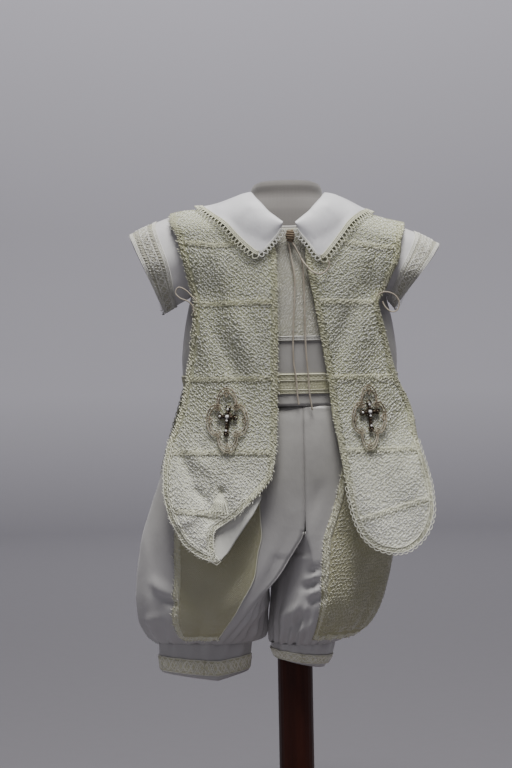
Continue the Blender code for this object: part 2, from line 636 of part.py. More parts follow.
def vest_heights(edges, trim_heights):
    """Levels of a vest panel's grid: its shoulder, both edges of each trim, and its hem."""
    levels = [RIDGE_NECK_Z - drop for drop in SHOULDER_DROPS]
    levels += [z + way * TRIM_WIDTH / 2 for z in trim_heights for way in (1, -1)]
    levels += VEST_LEVELS
    lowest = edges[-1].z
    levels += [lowest + rise for rise in HEM_RISES]
    return sorted(set(levels), reverse=True)


def vest_grid(side, edges, heights, columns):
    """One front of the vest, its columns running from the left to the right."""
    rows = []
    for height in heights:
        inner = read(edges, height, "inner")
        outer = read(edges, height, "outer")
        rim = min(EDGING_WIDTH, (outer - inner) / 4)
        line = []
        for j in range(columns + 1):
            share = clamp((j - 1) / (columns - 2))
            across = inner + rim + (outer - inner - 2 * rim) * share
            across = inner if j == 0 else outer if j == columns else across
            fade = clamp((height - ROOM_TOP_Z) / (RIDGE_NECK_Z - ROOM_TOP_Z))
            z = height + (ridge_z(across) - RIDGE_NECK_Z) * fade
            line.append(Vector((side * across, -vest_depth(across, z) - RIM_LEAN, z)))
        rows.append(line if side > 0 else line[::-1])
    return make_grid(rows, 1)


def border_cells(grid, first_row, last_row):
    """Cells along both sides of a panel and along its hem."""
    count = len(grid.points[0]) - 1
    cells = []
    for i in range(first_row, last_row):
        hem = i == last_row - 1
        cells += [(i, j) for j in range(count) if hem or j in (0, count - 1)]
    return cells


def build_vest_front(name, side, edges, trims):
    """Front of the vest with its lace edging and its sewn rows of trim."""
    heights = vest_heights(edges, [trim_z for trim_z, _ in trims])
    grid = vest_grid(side, edges, heights, VEST_COLUMNS)
    tops = [heights.index(trim_z + TRIM_WIDTH / 2) for trim_z, _ in trims]
    for top, (_, rise) in zip(tops, trims):
        for i in (top, top + 1):
            for j, spot in enumerate(grid.points[i]):
                x, z = spot.x, spot.z + rise * (j / VEST_COLUMNS - TRIM_LEVEL_SHARE)
                grid.points[i][j] = Vector((x, -vest_depth(x, z) - RIM_LEAN, z))
    grid = make_grid(grid.points, 1)
    wall("vest_front_" + name, grid, all_cells(grid), VEST_LACE, VEST_WALL)
    wall("vest_edging_" + name, grid, border_cells(grid, 1, len(heights) - 1), TRIM_LACE,
         TRIM_WALL, LAY, True)
    for number, top in enumerate(tops, start=1):
        cells = [(top, j) for j in range(2, VEST_COLUMNS - 2)]
        wall(f"vest_trim_{name}_{number}", grid, cells, TRIM_LACE, TRIM_WALL, LAY, True)


def back_neck_z(x):
    """Height of the back panel's upper edge: a scoop between the shoulder seams."""
    if abs(x) >= NECK_SIDE_X:
        return ridge_z(x)
    return RIDGE_NECK_Z - NECK_SCOOP * (1 - (x / NECK_SIDE_X) ** 2) ** 2


def build_vest_back():
    """Back of the vest: one panel with the same shoulders and a rounded hem."""
    levels = [RIDGE_NECK_Z - drop for drop in SHOULDER_DROPS] + BACK_LEVELS
    heights = levels + sorted((VEST_BACK[-1].z + rise for rise in HEM_RISES), reverse=True)
    rows = []
    for height in heights:
        outer = read(VEST_BACK, height, "outer")
        half = [share * outer for share in BACK_SHARES] + [outer - EDGING_WIDTH, outer]
        line = []
        for across in [-x for x in half[:0:-1]] + half:
            fade = clamp((height - ROOM_TOP_Z) / (RIDGE_NECK_Z - ROOM_TOP_Z))
            z = height + (back_neck_z(across) - RIDGE_NECK_Z) * fade
            line.append(Vector((across, vest_depth(across, z) + RIM_LEAN, z)))
        rows.append(line)
    grid = make_grid(rows, -1)
    wall("vest_back", grid, all_cells(grid), VEST_LACE, VEST_WALL)
    wall("vest_edging_back", grid, border_cells(grid, 1, len(heights) - 1), TRIM_LACE,
         TRIM_WALL, LAY, True)


def build_lining():
    """Satin lining that shows past the turned corner of the left tail."""
    behind = VEST_WALL + LINING_GAP
    rows = []
    for row in LINING_ROWS:
        lace_edge = read(VEST_LEFT, row.z, "inner")
        line = []
        for share in LINING_SHARES:
            across = lace_edge + LINING_TUCK + (row.edge - lace_edge - LINING_TUCK) * share
            line.append(Vector((-across, -vest_depth(across, row.z) + behind, row.z)))
        rows.append(line)
    grid = make_grid(rows, 1)
    wall("vest_lining_left", grid, all_cells(grid), SATIN, SATIN_WALL)


# ---------------------------------------------------------------- legs and cuffs
def leg_angles(row):
    """Column angles of one level: the crest is 0, the back crest 180, then the inner side."""
    stops = (0.0, row.lace_from, row.lace_to, 180.0, 360.0)
    angles = []
    for start, end, count in zip(stops, stops[1:], LEG_COLUMNS):
        angles += [start + (end - start) * k / count for k in range(count)]
    return angles


def leg_point(row, angle, column):
    """Point of a leg's outside, with its gathers and broad folds."""
    turn = radians(angle)
    if angle <= 180:
        across = row.crest + (row.outer - row.crest) * sin(turn)
    else:
        roundness = INNER_ROUND.get(row.z, 0.0 if row.z > CROTCH_Z else 1.0)
        rise = max(1 - abs(cos(turn)) ** (1.6 + 0.4 * roundness), 0.0)
        across = row.crest + (row.inner - row.crest) * rise ** (1 - 0.5 * roundness)
    spot = Vector((across, -row.half_depth * cos(turn), row.z))
    middle = Vector(((row.outer + row.inner) / 2, 0, row.z))
    away = (spot - middle).normalized()
    gather = row.gather * cos(2 * pi * column / GATHER_COLUMNS)
    wave = sin(FLUTES * turn + FLUTE_START)
    fold = row.flute * wave * sin(turn / 2) * sin(turn) if angle < 180 else 0.0
    return spot + away * (gather + fold)


def leg_grid(rows, side):
    """Grid of a leg; its columns run from the crest round the outer side."""
    lines = []
    for i, row in enumerate(rows):
        angles = leg_angles(row)
        still = i < CROTCH_ROW + 1
        line = []
        for j, angle in enumerate(angles):
            at_seam = still and (angle == 0 or angle >= 180)
            calm = row._replace(gather=0.0, flute=0.0) if at_seam else row
            line.append(leg_point(calm, angle, j))
        lines.append(line)
    return make_grid(lines, side, closed=True)


def parted(grid, columns):
    """The same grid with its seam columns moved back from the piece that they are sewn to."""
    rows = [list(row) for row in grid.points]
    for row in rows:
        for j in columns:
            row[j] = row[j] + Vector((0, SEAM_LEAN_GAP, 0))
    return make_grid(rows, grid.turn, closed=True)


def build_leg(name, side, rows):
    """Front and back of a full leg, each with half of the seat above, and its lace panel."""
    grid = leg_grid(rows, side)
    outside = sum(LEG_COLUMNS[:3])
    side_seam = SIDE_SEAM_COLUMN[name]
    cells = [(i, j) for i, j in all_cells(grid, True) if j < outside or i >= CROTCH_ROW]
    back = [(i, j) for i, j in cells if side_seam <= j < INSEAM_COLUMN]
    front = [cell for cell in cells if cell not in back]
    wall("leg_front_" + name, grid, front, SATIN, SATIN_WALL)
    wall("leg_back_" + name, parted(grid, (side_seam, INSEAM_COLUMN)), back, SATIN, SATIN_WALL)
    first = LEG_COLUMNS[0]
    lace = [(i, j) for i, j in all_cells(grid, True)
            if LACE_TOP_ROW <= i < len(rows) - 2 and first <= j < first + LEG_COLUMNS[1]]
    wall("leg_lace_" + name, grid, lace, LACE, LACE_WALL, LAY, True)


def build_cuff(row):
    """Straight satin cuff with a lace band round it."""
    shares = (0.0, CUFF_LACE_FROM, CUFF_LACE_TO, 1.0)
    rows = []
    for share in shares:
        line = []
        for k in range(CUFF_SIDES):
            angle = 2 * pi * k / CUFF_SIDES
            away = sin(angle) - row.crease_at
            crease = 1 - abs(away) / (1 - row.crease_at if away > 0 else 1 + row.crease_at)
            crease = max(crease, 0.0) if cos(angle) > 0 else 0.0
            lean = share * share
            across = (row.half_width + row.flare * lean) * sin(angle) + row.shift * lean
            bottom = row.bottom_z + row.tilt * sin(angle) - row.crease_drop * crease
            z = CUFF_TOP_Z + (bottom - CUFF_TOP_Z) * share
            deep = (row.half_depth + row.flare * lean) * cos(angle) + row.crease_out * crease * share
            line.append(Vector((row.centre_x + across, -deep, z)))
        rows.append(line)
    grid = make_grid(rows, 1, closed=True)
    wall("cuff_" + row.side, grid, all_cells(grid, True), SATIN, SATIN_WALL)
    first = shares.index(CUFF_LACE_FROM)
    band = [(i, j) for i, j in all_cells(grid, True) if i == first]
    wall("cuff_lace_" + row.side, grid, band, TRIM_LACE, LACE_WALL, LAY, True)


# ---------------------------------------------------------------- collar
def vest_height(x, y):
    """Height of the vest's outside above a point of the plan near the shoulders."""
    low, high = COLLAR_LOWEST_Z, ridge_z(x)
    for _ in range(HALVINGS):
        middle = (low + high) / 2
        if vest_depth(x, middle) > abs(y):
            low = middle
        else:
            high = middle
    return low


def collar_line(station, side, row):
    """Points of one collar station from the neck to the outer edge."""
    outer_x = min(station.outer_x, COLLAR_WIDE_X) + max(station.outer_x - COLLAR_WIDE_X, 0) * row.reach
    line = []
    for share in COLLAR_SHARES:
        stand = row.lay + COLLAR_ROLL * (1 - share) ** 2 * share * 4
        across = station.neck_x + (outer_x - station.neck_x) * share
        x = side * across + COLLAR_CENTRE_X
        if isinstance(station, FrontStation):
            drop = row.tip_drop * clamp(1 - (station.outer_z - COLLAR_TIP_Z) / COLLAR_DROP_FADE)
            z = station.neck_z + (station.outer_z - drop - station.neck_z) * share
            line.append(Vector((x, -vest_depth(x, z) - stand, z + stand * 0.3)))
        else:
            y = station.neck_y + (station.outer_y - station.neck_y) * share
            away = Vector((side * across / SHOULDER_HALF.x, y / SHOULDER_HALF.y, 1)).normalized()
            line.append(Vector((x, y, vest_height(x, y))) + away * stand)
    return line


def build_collar(row):
    """Half of the pointed collar from centre front to centre back, with its lace edge."""
    side = -1 if row.side == "left" else 1
    stations = COLLAR_FRONT + COLLAR_TOP
    lines = [collar_line(station, side, row) for station in stations]
    rows = [[line[k] for line in lines] for k in range(len(COLLAR_SHARES))]
    grid = make_grid(rows, side)
    cells = [(i, j) for i, j in all_cells(grid) if i < COLLAR_LACE_FROM]
    wall("collar_" + row.side, grid, cells, SATIN, SATIN_WALL)
    shifted = make_grid(rows[COLLAR_LACE_FROM:], side)
    first = shifted.points[0]
    for j, spot in enumerate(first):
        inward = (shifted.points[1][j] - spot).normalized()
        shifted.points[0][j] = spot + inward * SEAM
    wall("collar_lace_" + row.side, shifted, all_cells(shifted), TRIM_LACE, LACE_WALL)


# ---------------------------------------------------------------- crosses
def quatrefoil(angle):
    """Radius, as a share, of an outline with four round lobes."""
    return 1 - LOBE_DEPTH * (1 - abs(cos(2 * angle)) ** 1.5)


def build_medallion(row):
    """Ring of braid with four lobes, sewn flat on a vest front round the cross."""
    rows = []
    for share in (MEDALLION_BAND, 1.0):
        line = []
        for k in range(MEDALLION_SIDES):
            angle = 2 * pi * k / MEDALLION_SIDES
            reach = share * quatrefoil(angle)
            x = row.x + row.half_width * reach * sin(angle)
            z = row.z + row.half_height * reach * cos(angle)
            line.append(Vector((x, -vest_depth(x, z) - MEDALLION_LIFT, z)))
        rows.append(line)
    grid = make_grid(rows, 1, closed=True)
    wall("medallion_" + row.side, grid, all_cells(grid, True), BRAID, TRIM_WALL, 0.0, True)


def cross_outline():
    """Outline of a cross with a round bud at the end of each arm, as points (x, z)."""
    arms = ((0, 1, CROSS_TOP), (1, 0, CROSS_HALF_WIDTH), (0, -1, CROSS_BOTTOM), (-1, 0, CROSS_HALF_WIDTH))
    outline = []
    for ax, az, length in arms:
        along = Vector((ax, az))
        across = Vector((az, -ax))
        outline.append(along * CROSS_BAR - across * CROSS_BAR)
        centre = along * (length - CROSS_BUD)
        neck = asin(CROSS_BAR / CROSS_BUD)
        for k in range(BUD_STEPS + 1):
            turn = pi + neck + (2 * pi - 2 * neck) * k / BUD_STEPS
            outline.append(centre + along * CROSS_BUD * cos(turn) + across * CROSS_BUD * sin(turn))
    return outline


def build_cross(row):
    """Dark metal cross in the middle of a medallion."""
    curve = bpy.data.curves.new("cross_" + row.side, "CURVE")
    curve.dimensions = "2D"
    curve.fill_mode = "BOTH"
    curve.extrude = CROSS_THICKNESS / 2 * MM
    outline = cross_outline()
    spline = curve.splines.new("POLY")
    spline.points.add(len(outline) - 1)
    for point, place in zip(spline.points, outline):
        point.co = (place.x * MM, place.y * MM, 0.0, 1.0)
    spline.use_cyclic_u = True
    thing = add_object("cross_" + row.side, curve, DARK_METAL, 0.7)
    x, z, step = row.cross_x, row.cross_z, CROSS_HALF_WIDTH
    sideways = (vest_depth(x + step, z) - vest_depth(x - step, z)) / (2 * step)
    upwards = (vest_depth(x, z + step) - vest_depth(x, z - step)) / (2 * step)
    thing.location = Vector((x, -vest_depth(x, z) - CROSS_LIFT, z)) * MM
    thing.rotation_euler = (radians(90) + atan(upwards), radians(row.turn), -atan(sideways))
    return thing


# ---------------------------------------------------------------- cords
def smooth_route(route, spacing):
    """Evenly spaced points on a smooth curve through a route's points."""
    spots = [Vector(place) for place in route]
    spots = [spots[0] * 2 - spots[1]] + spots + [spots[-1] * 2 - spots[-2]]
    fine = []
    for a, b, c, d in zip(spots, spots[1:], spots[2:], spots[3:]):
        for k in range(ROUTE_STEPS):
            t = k / ROUTE_STEPS
            fine.append(0.5 * (2 * b + (c - a) * t + (2 * a - 5 * b + 4 * c - d) * t * t
                               + (3 * b - a - 3 * c + d) * t ** 3))
    fine.append(spots[-2])
    even = [fine[0]]
    for spot in fine[1:]:
        if (spot - even[-1]).length >= spacing:
            even.append(spot)
    even[-1] = fine[-1]
    return even


def build_cord(name, route, diameter):
    """Round cord along a route, with closed ends."""
    curve = bpy.data.curves.new(name, "CURVE")
    curve.dimensions = "3D"
    curve.bevel_depth = diameter / 2 * MM
    curve.bevel_resolution = 2
    curve.use_fill_caps = True
    points = smooth_route(route, diameter * 3)
    spline = curve.splines.new("POLY")
    spline.points.add(len(points) - 1)
    for point, place in zip(spline.points, points):
        point.co = (*(settled(place) * MM), 1.0)
    return add_object(name, curve, BRAID)


def build_knot():
    """Knot that the two ties leave, lying on the yoke between the collar's points."""
    form = bmesh.new()
    bmesh.ops.create_uvsphere(form, u_segments=KNOT_SIDES, v_segments=KNOT_RINGS, radius=1.0)
    bmesh.ops.scale(form, verts=form.verts, vec=Vector(KNOT_HALF_SIZE) * MM)
    bmesh.ops.translate(form, verts=form.verts, vec=Vector(KNOT_CENTRE) * MM)
    mesh = bpy.data.meshes.new("tie_knot")
    form.to_mesh(mesh)
    form.free()
    mesh.shade_smooth()
    add_object("tie_knot", mesh, BRAID)


# ---------------------------------------------------------------- whole
def build_vest():
    """Both fronts, the back, and the lining that shows."""
    build_vest_front("left", -1, VEST_LEFT, TRIMS_LEFT)
    build_vest_front("right", 1, VEST_RIGHT, TRIMS_RIGHT)
    build_vest_back()
    build_lining()


def main():
    """Build every piece."""
    build_form()
    build_bodice()
    for row in SLEEVE_ROWS:
        build_sleeve(row)
    build_leg("left", -1, LEG_LEFT)
    build_leg("right", 1, LEG_RIGHT)
    for row in CUFF_ROWS:
        build_cuff(row)
    build_vest()
    for row in COLLAR_ROWS:
        build_collar(row)
    for row in MEDALLIONS:
        build_medallion(row)
        build_cross(row)
    build_knot()
    build_cord("tie_left", TIE_LEFT, CORD_DIAMETER)
    build_cord("tie_right", TIE_RIGHT, CORD_DIAMETER)
    build_cord("tie_loop", TIE_LOOP, CORD_DIAMETER)
    build_cord("side_tie_left", SIDE_TIE_LEFT, SIDE_CORD_DIAMETER)
    build_cord("side_tie_right", SIDE_TIE_RIGHT, SIDE_CORD_DIAMETER)


clear_scene()
GROUP = new_collection("christening_outfit")
main()
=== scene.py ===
"""Christening romper with a long open lace vest, worn by a limbless dress form: the looks.

Every piece of cloth is a thin shell on the form in which it is worn.  The lace is laid on it as
raised threads: slanted stitches for the openwork, and cords, waves and scallops for the bands.
Tables and sizes are in millimetres; meshes are in metres.  Front is -Y and up is +Z.
"""
from __future__ import annotations

import logging
from dataclasses import dataclass
from enum import Enum
from typing import Callable, NamedTuple

import bpy
import numpy as np
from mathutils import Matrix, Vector


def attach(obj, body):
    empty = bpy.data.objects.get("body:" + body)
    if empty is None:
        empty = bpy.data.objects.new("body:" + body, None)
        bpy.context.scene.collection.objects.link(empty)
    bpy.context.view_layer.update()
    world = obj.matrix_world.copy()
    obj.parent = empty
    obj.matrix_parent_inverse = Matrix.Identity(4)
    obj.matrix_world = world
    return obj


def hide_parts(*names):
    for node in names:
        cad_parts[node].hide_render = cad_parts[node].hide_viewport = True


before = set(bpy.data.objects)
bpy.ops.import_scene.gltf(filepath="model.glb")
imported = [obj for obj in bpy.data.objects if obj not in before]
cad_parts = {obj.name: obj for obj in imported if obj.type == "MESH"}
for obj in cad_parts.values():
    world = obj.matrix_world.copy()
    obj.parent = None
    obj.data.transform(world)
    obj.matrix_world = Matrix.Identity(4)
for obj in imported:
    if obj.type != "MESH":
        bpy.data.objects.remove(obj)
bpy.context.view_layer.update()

log = logging.getLogger("christening_outfit")

MM = 0.001
RIM_LEAN = 0.3
SUNK = 0.15  # how deep the foot of a thread lies in the cloth
Array = np.ndarray
Thing = bpy.types.Object
Socket = bpy.types.NodeSocket
Pair = tuple[float, float]
Triple = tuple[float, float, float]


class Place(Enum):
    """Option whose name is part of the nodes' names."""

    @property
    def word(self) -> str:
        """Name in lower case, as the nodes' names have it."""
        return self.name.lower()


class Side(Place):
    """Side of the outfit, seen by somebody who looks at the front."""

    LEFT = -1
    RIGHT = 1


class Facing(Place):
    """Front or back of the outfit."""

    FRONT = -1
    BACK = 1


class Hang(Enum):
    """How a sheet of cloth is held."""

    DRAPED = "draped"
    HUNG = "hung"
    GATHERED = "gathered"
    FOLDED = "folded"


# -------------------- curves, tables and creases
def smooth_curve(stations: Array, values: Array, at: Array) -> Array:
    """Read a smooth curve that never overshoots its stations.

    Args:
        stations: places of the known values, in rising order.
        values: value at each station.
        at: places to read.

    Returns:
        The curve's value at each place; beyond the ends it stays level.
    """
    step = np.diff(stations)
    rise = np.diff(values) / step
    slopes = np.zeros(len(stations))
    before, after = rise[:-1], rise[1:]
    bends = before * after > 0
    slopes[1:-1][bends] = 2 * before[bends] * after[bends] / (before + after)[bends]
    low = np.clip(np.searchsorted(stations, at) - 1, 0, len(stations) - 2)
    t = np.clip((at - stations[low]) / step[low], 0.0, 1.0)
    pull = slopes[low] * t * (1 - t) ** 2 - slopes[low + 1] * t * t * (1 - t)
    return values[low] + (values[low + 1] - values[low]) * t * t * (3 - 2 * t) + pull * step[low]


@dataclass(frozen=True)
class Table:
    """Rows of sizes under named columns; the first column is what the rows are read by."""

    columns: str
    rows: tuple[tuple[float, ...], ...]

    def read(self, column: str, at: Array | float) -> Array:
        """Read a column on a smooth curve, at places of the first column."""
        data = np.array(sorted(self.rows), dtype=float)
        return smooth_curve(data[:, 0], data[:, self.columns.split().index(column)], np.asarray(at, float))

    def span(self, column: str) -> Pair:
        """Lowest and highest value of a column."""
        values = [row[self.columns.split().index(column)] for row in self.rows]
        return min(values), max(values)


class Crease(NamedTuple):
    """Soft ridge (depth above 0) or trough (below 0) laid on cloth, seen from the front."""

    x: float
    z: float
    turn: float  # degrees from level, rising to the right
    length: float  # half of its length
    width: float
    depth: float


Creases = tuple[Crease, ...]


def creases(*rows: tuple[float, ...]) -> Creases:
    """Creases from rows of their sizes, in the order of Crease."""
    return tuple(Crease(*row) for row in rows)


def relief(folds: Creases, x: Array, z: Array) -> Array:
    """Sum of the creases' heights at places seen from the front.

    Args:
        folds: the ridges and troughs.
        x: distance to the right.
        z: height.

    Returns:
        How far the cloth stands out at each place.
    """
    total = np.zeros(np.broadcast(x, z).shape)
    for crease in folds:
        turn = np.radians(crease.turn)
        along = (x - crease.x) * np.cos(turn) + (z - crease.z) * np.sin(turn)
        across = (z - crease.z) * np.cos(turn) - (x - crease.x) * np.sin(turn)
        fade = np.cos(np.clip(along / crease.length, -1, 1) * np.pi / 2) ** 2
        total += crease.depth * fade * np.exp(-(across / crease.width) ** 2)
    return total


def points(*parts: Array | float) -> Array:
    """Stack x, y and z into points."""
    return np.stack(np.broadcast_arrays(*parts), axis=-1).astype(float)


def unit(vectors: Array) -> Array:
    """Vectors at a length of one."""
    return vectors / np.maximum(np.linalg.norm(vectors, axis=-1, keepdims=True), 1e-9)


def resample(line: Array, step: float) -> Array:
    """Points evenly spaced along a line.

    Args:
        line: points of the line, in any number of dimensions.
        step: wanted distance between points.

    Returns:
        The new points, ends kept.
    """
    reach = np.concatenate([[0.0], np.cumsum(np.linalg.norm(np.diff(line, axis=0), axis=1))])
    count = max(int(round(reach[-1] / step)), 2)
    at = np.linspace(0.0, reach[-1], count + 1)
    return np.stack([np.interp(at, reach, line[:, k]) for k in range(line.shape[1])], axis=1)


def corners(sides: int) -> Array:
    """Angles of the corners of a regular polygon, in radians."""
    return 2 * np.pi * np.arange(sides) / sides


def catmull(spots: Array, count: int) -> Array:
    """Smooth curve through points.

    Args:
        spots: the points, or rows of points.
        count: number of steps between each two.

    Returns:
        Points of the curve, the given ones among them.
    """
    full = np.concatenate([[spots[0] * 2 - spots[1]], spots, [spots[-1] * 2 - spots[-2]]])
    t = (np.arange(count) / count).reshape((-1,) + (1,) * (spots.ndim - 1))
    fine = []
    for a, b, c, d in zip(full, full[1:], full[2:], full[3:]):
        fine.append(0.5 * (2 * b + (c - a) * t + (2 * a - 5 * b + 4 * c - d) * t ** 2
                           + (3 * b - a - 3 * c + d) * t ** 3))
    return np.concatenate(fine + [spots[-1:]])


# -------------------- cloth as a surface
class Cloth:
    """Surface of a worn piece"""

    sense = 1.0  # makes the normal point outwards
    probe = (0.3, 0.3)  # steps for reading the normal

    def form(self, a: Array, b: Array) -> Array:
        """Points of the outside.

        Args:
            a: first number of each place.
            b: second number of each place.

        Returns:
            Points in millimetres.
        """
        raise NotImplementedError

    def normal(self, a: Array, b: Array) -> Array:
        """Outward directions at places of the surface.

        Args:
            a: first number of each place.
            b: second number of each place.

        Returns:
            A direction for each place, of length one.
        """
        da, db = self.probe
        along = self.form(a + da, b) - self.form(a - da, b)
        onwards = self.form(a, b + db) - self.form(a, b - db)
        return unit(np.cross(along, onwards)) * self.sense

    def place(self, a: Array, b: Array, lift: Array | float = 0.0) -> Array:
        """Points at a height above the surface, all in millimetres."""
        lift = np.broadcast_to(np.asarray(lift, float), np.broadcast(a, b).shape)
        return self.form(a, b) + self.normal(a, b) * lift[..., None]


class Ribbon(Cloth):
    """Narrow strip along a line on another cloth; a runs along it and b across it."""

    def __init__(self, spots: Array, normals: Array) -> None:
        """Keep the strip's middle line.

        Args:
            spots: points of the line.
            normals: outward direction at each point.
        """
        steps = np.linalg.norm(np.diff(spots, axis=0), axis=1)
        self.reach = np.concatenate([[0.0], np.cumsum(steps)])
        self.length = float(self.reach[-1])
        self.spots = spots
        self.normals = normals
        self.across = unit(np.cross(normals, unit(np.gradient(spots, axis=0))))

    @classmethod
    def on(cls, cloth: Cloth, a: Array, b: Array | float) -> Ribbon:
        """Strip along a line given in another cloth's own numbers."""
        b = np.full_like(a, b)
        return cls(cloth.form(a, b), cloth.normal(a, b))

    def way_from(self, spot: Array) -> float:
        """Which way across the strip leads away from a place: 1 or -1."""
        middle = len(self.spots) // 2
        return 1.0 if float(np.dot(self.across[middle], self.spots[middle] - spot)) > 0 else -1.0

    def _at(self, rows: Array, a: Array) -> Array:
        """Read rows of vectors at distances along the strip."""
        return np.stack([np.interp(a, self.reach, rows[:, k]) for k in range(3)], axis=-1)

    def form(self, a: Array, b: Array) -> Array:
        """Points of the strip, in millimetres."""
        a, b = np.broadcast_arrays(np.asarray(a, float), np.asarray(b, float))
        return self._at(self.spots, a) + self._at(self.across, a) * b[..., None]

    def normal(self, a: Array, b: Array) -> Array:
        """Outward directions along the strip."""
        a, _ = np.broadcast_arrays(np.asarray(a, float), np.asarray(b, float))
        return unit(self._at(self.normals, a))


@dataclass
class Shifted(Cloth):
    """A ribbon read from a line beside its middle."""

    ribbon: Ribbon
    offset: float

    @property
    def length(self) -> float:
        """Length of the ribbon."""
        return self.ribbon.length

    def form(self, a: Array, b: Array) -> Array:
        """Points of the strip, in millimetres."""
        return self.ribbon.form(a, np.asarray(b) + self.offset)

    def normal(self, a: Array, b: Array) -> Array:
        """Outward directions of the strip."""
        return self.ribbon.normal(a, b)


# -------------------- making meshes
SAG_SPAN = (600.0, 700.0)  # the shoulders sag: nothing below these heights, all above them
SAG = np.array([(-125, 0.0), (-76, 6.3), (-28, 0.0), (20, 0.0), (120, 14.5)])  # x and sag


def settled(spots: Array) -> Array:
    """Lower points as the shoulders sag, the right one more.

    Args:
        spots: points in millimetres.

    Returns:
        The points in their sagged places.
    """
    x = np.clip(spots[..., 0], SAG[0, 0], SAG[-1, 0])
    before = np.clip(np.searchsorted(SAG[:, 0], x) - 1, 0, len(SAG) - 2)
    t = (x - SAG[before, 0]) / (SAG[before + 1, 0] - SAG[before, 0])
    sag = SAG[before, 1] + (SAG[before + 1, 1] - SAG[before, 1]) * t * t * (3 - 2 * t)
    share = np.clip((spots[..., 2] - SAG_SPAN[0]) / (SAG_SPAN[1] - SAG_SPAN[0]), 0, 1)
    lowered = np.array(spots, dtype=float)
    lowered[..., 2] -= sag * share * share * (3 - 2 * share)
    return lowered


def new_piece(name: str, verts: Array, faces: list[list[int]], worn: bool = True) -> Thing:
    """Make a smooth mesh object from points in millimetres.

    Args:
        name: name of the piece.
        verts: points.
        faces: corner numbers of each face.
        worn: whether it sags with the shoulders.

    Returns:
        The object, linked to the scene.
    """
    mesh = bpy.data.meshes.new(name)
    mesh.from_pydata(((settled(verts) if worn else verts) * MM).tolist(), [], faces)
    mesh.shade_smooth()
    thing = bpy.data.objects.new(name, mesh)
    bpy.context.scene.collection.objects.link(thing)
    return thing


class Panel(NamedTuple):
    """Sheet of cloth that was made, with the area of its outside in square metres."""

    thing: Thing
    area: float


def shell(name: str, cloth: Cloth, a: Array, b: Array, thickness: float, lift: float = 0.0,
          wrap: bool = False, mask: Array | None = None) -> Panel:
    """Make a closed two-sided shell over a grid of places on a cloth.

    Args:
        name: name of the piece.
        cloth: surface that it lies on.
        a: first numbers, as rows and columns.
        b: second numbers, as rows and columns.
        thickness: thickness in millimetres.
        lift: height of the outside above the surface.
        wrap: whether the last column meets the first.
        mask: which cells are made; all of them where it is left out.

    Returns:
        The piece and the area of its outside.
    """
    rows, cols = a.shape
    outside = cloth.place(a, b, lift)
    inside = cloth.place(a, b, lift - thickness)
    number = np.arange(rows * cols).reshape(rows, cols)
    beyond = np.roll(number, -1, axis=1) if wrap else number[:, 1:]
    nearby = number if wrap else number[:, :-1]
    quads = np.stack([nearby[:-1], nearby[1:], beyond[1:], beyond[:-1]], axis=-1)
    quads = quads[mask] if mask is not None else quads.reshape(-1, 4)
    flat = outside.reshape(-1, 3)
    first, second, third, fourth = (flat[quads[:, k]] for k in range(4))
    facing = np.cross(third - first, fourth - second)
    outwards = cloth.normal(a, b).reshape(-1, 3)[quads[:, 0]]
    if np.sum(facing * outwards) < 0:
        quads = quads[:, ::-1]
    area = float(np.sum(np.linalg.norm(facing, axis=1)) / 2) * MM * MM
    starts, ends = quads, np.roll(quads, -1, axis=1)
    size = rows * cols
    forward = (starts * size + ends).ravel()
    backward = (ends * size + starts).ravel()
    rim = ~np.isin(forward, backward)
    u, v = starts.ravel()[rim], ends.ravel()[rim]
    walls = np.stack([v, u, u + size, v + size], axis=-1)
    faces = np.concatenate([quads, quads[:, ::-1] + size, walls])
    used, packed = np.unique(faces, return_inverse=True)
    verts = np.concatenate([flat, inside.reshape(-1, 3)])[used]
    return Panel(new_piece(name, verts, packed.reshape(-1, 4).tolist()), area)


class Yarns:
    """Raised threads, gathered into one piece."""

    def __init__(self) -> None:
        """Start with no thread."""
        self.verts: list[Array] = []
        self.faces: list[Array] = []
        self.caps: list[Array] = []
        self.count = 0

    def lay(self, cloth: Cloth, a: Array, b: Array, width: float, height: float,
            lift: float = 0.0, ends: float = 0.25) -> None:
        """Lay threads on a cloth, each a row of places.

        Args:
            cloth: surface that they lie on.
            a: first numbers, one row for each thread.
            b: second numbers, one row for each thread.
            width: width of a thread.
            height: height of a thread.
            lift: height of its foot above the cloth.
            ends: width at the ends, as a share.
        """
        a, b = np.atleast_2d(a), np.atleast_2d(b)
        if a.size == 0:
            return
        up = cloth.normal(a, b)
        centre = cloth.form(a, b) + up * lift
        threads, stops = a.shape
        along = unit(np.gradient(centre, axis=1))
        out = unit(np.cross(up, along))
        swell = np.ones(stops)
        swell[0] = swell[-1] = ends
        half = (width / 2 * swell)[None, :, None]
        crown = (height * swell)[None, :, None]
        ring = np.stack([centre + out * half - up * SUNK, centre + up * crown,
                         centre - out * half - up * SUNK], axis=2)
        start = self.count + np.arange(threads * stops).reshape(threads, stops) * 3
        here, ahead = start[:, :-1], start[:, 1:]
        for k in range(3):
            side = (k + 1) % 3
            self.faces.append(np.stack([here + k, here + side, ahead + side, ahead + k], axis=-1)
                              .reshape(-1, 4))
        first, last = start[:, 0], start[:, -1]
        self.caps.append(np.stack([first + 2, first + 1, first], axis=-1))
        self.caps.append(np.stack([last, last + 1, last + 2], axis=-1))
        self.verts.append(ring.reshape(-1, 3))
        self.count += threads * stops * 3

    def make(self, name: str) -> Thing:
        """Join the threads into one piece of this name."""
        faces = [face for batch in self.faces + self.caps for face in batch.tolist()]
        return new_piece(name, np.concatenate(self.verts), faces)


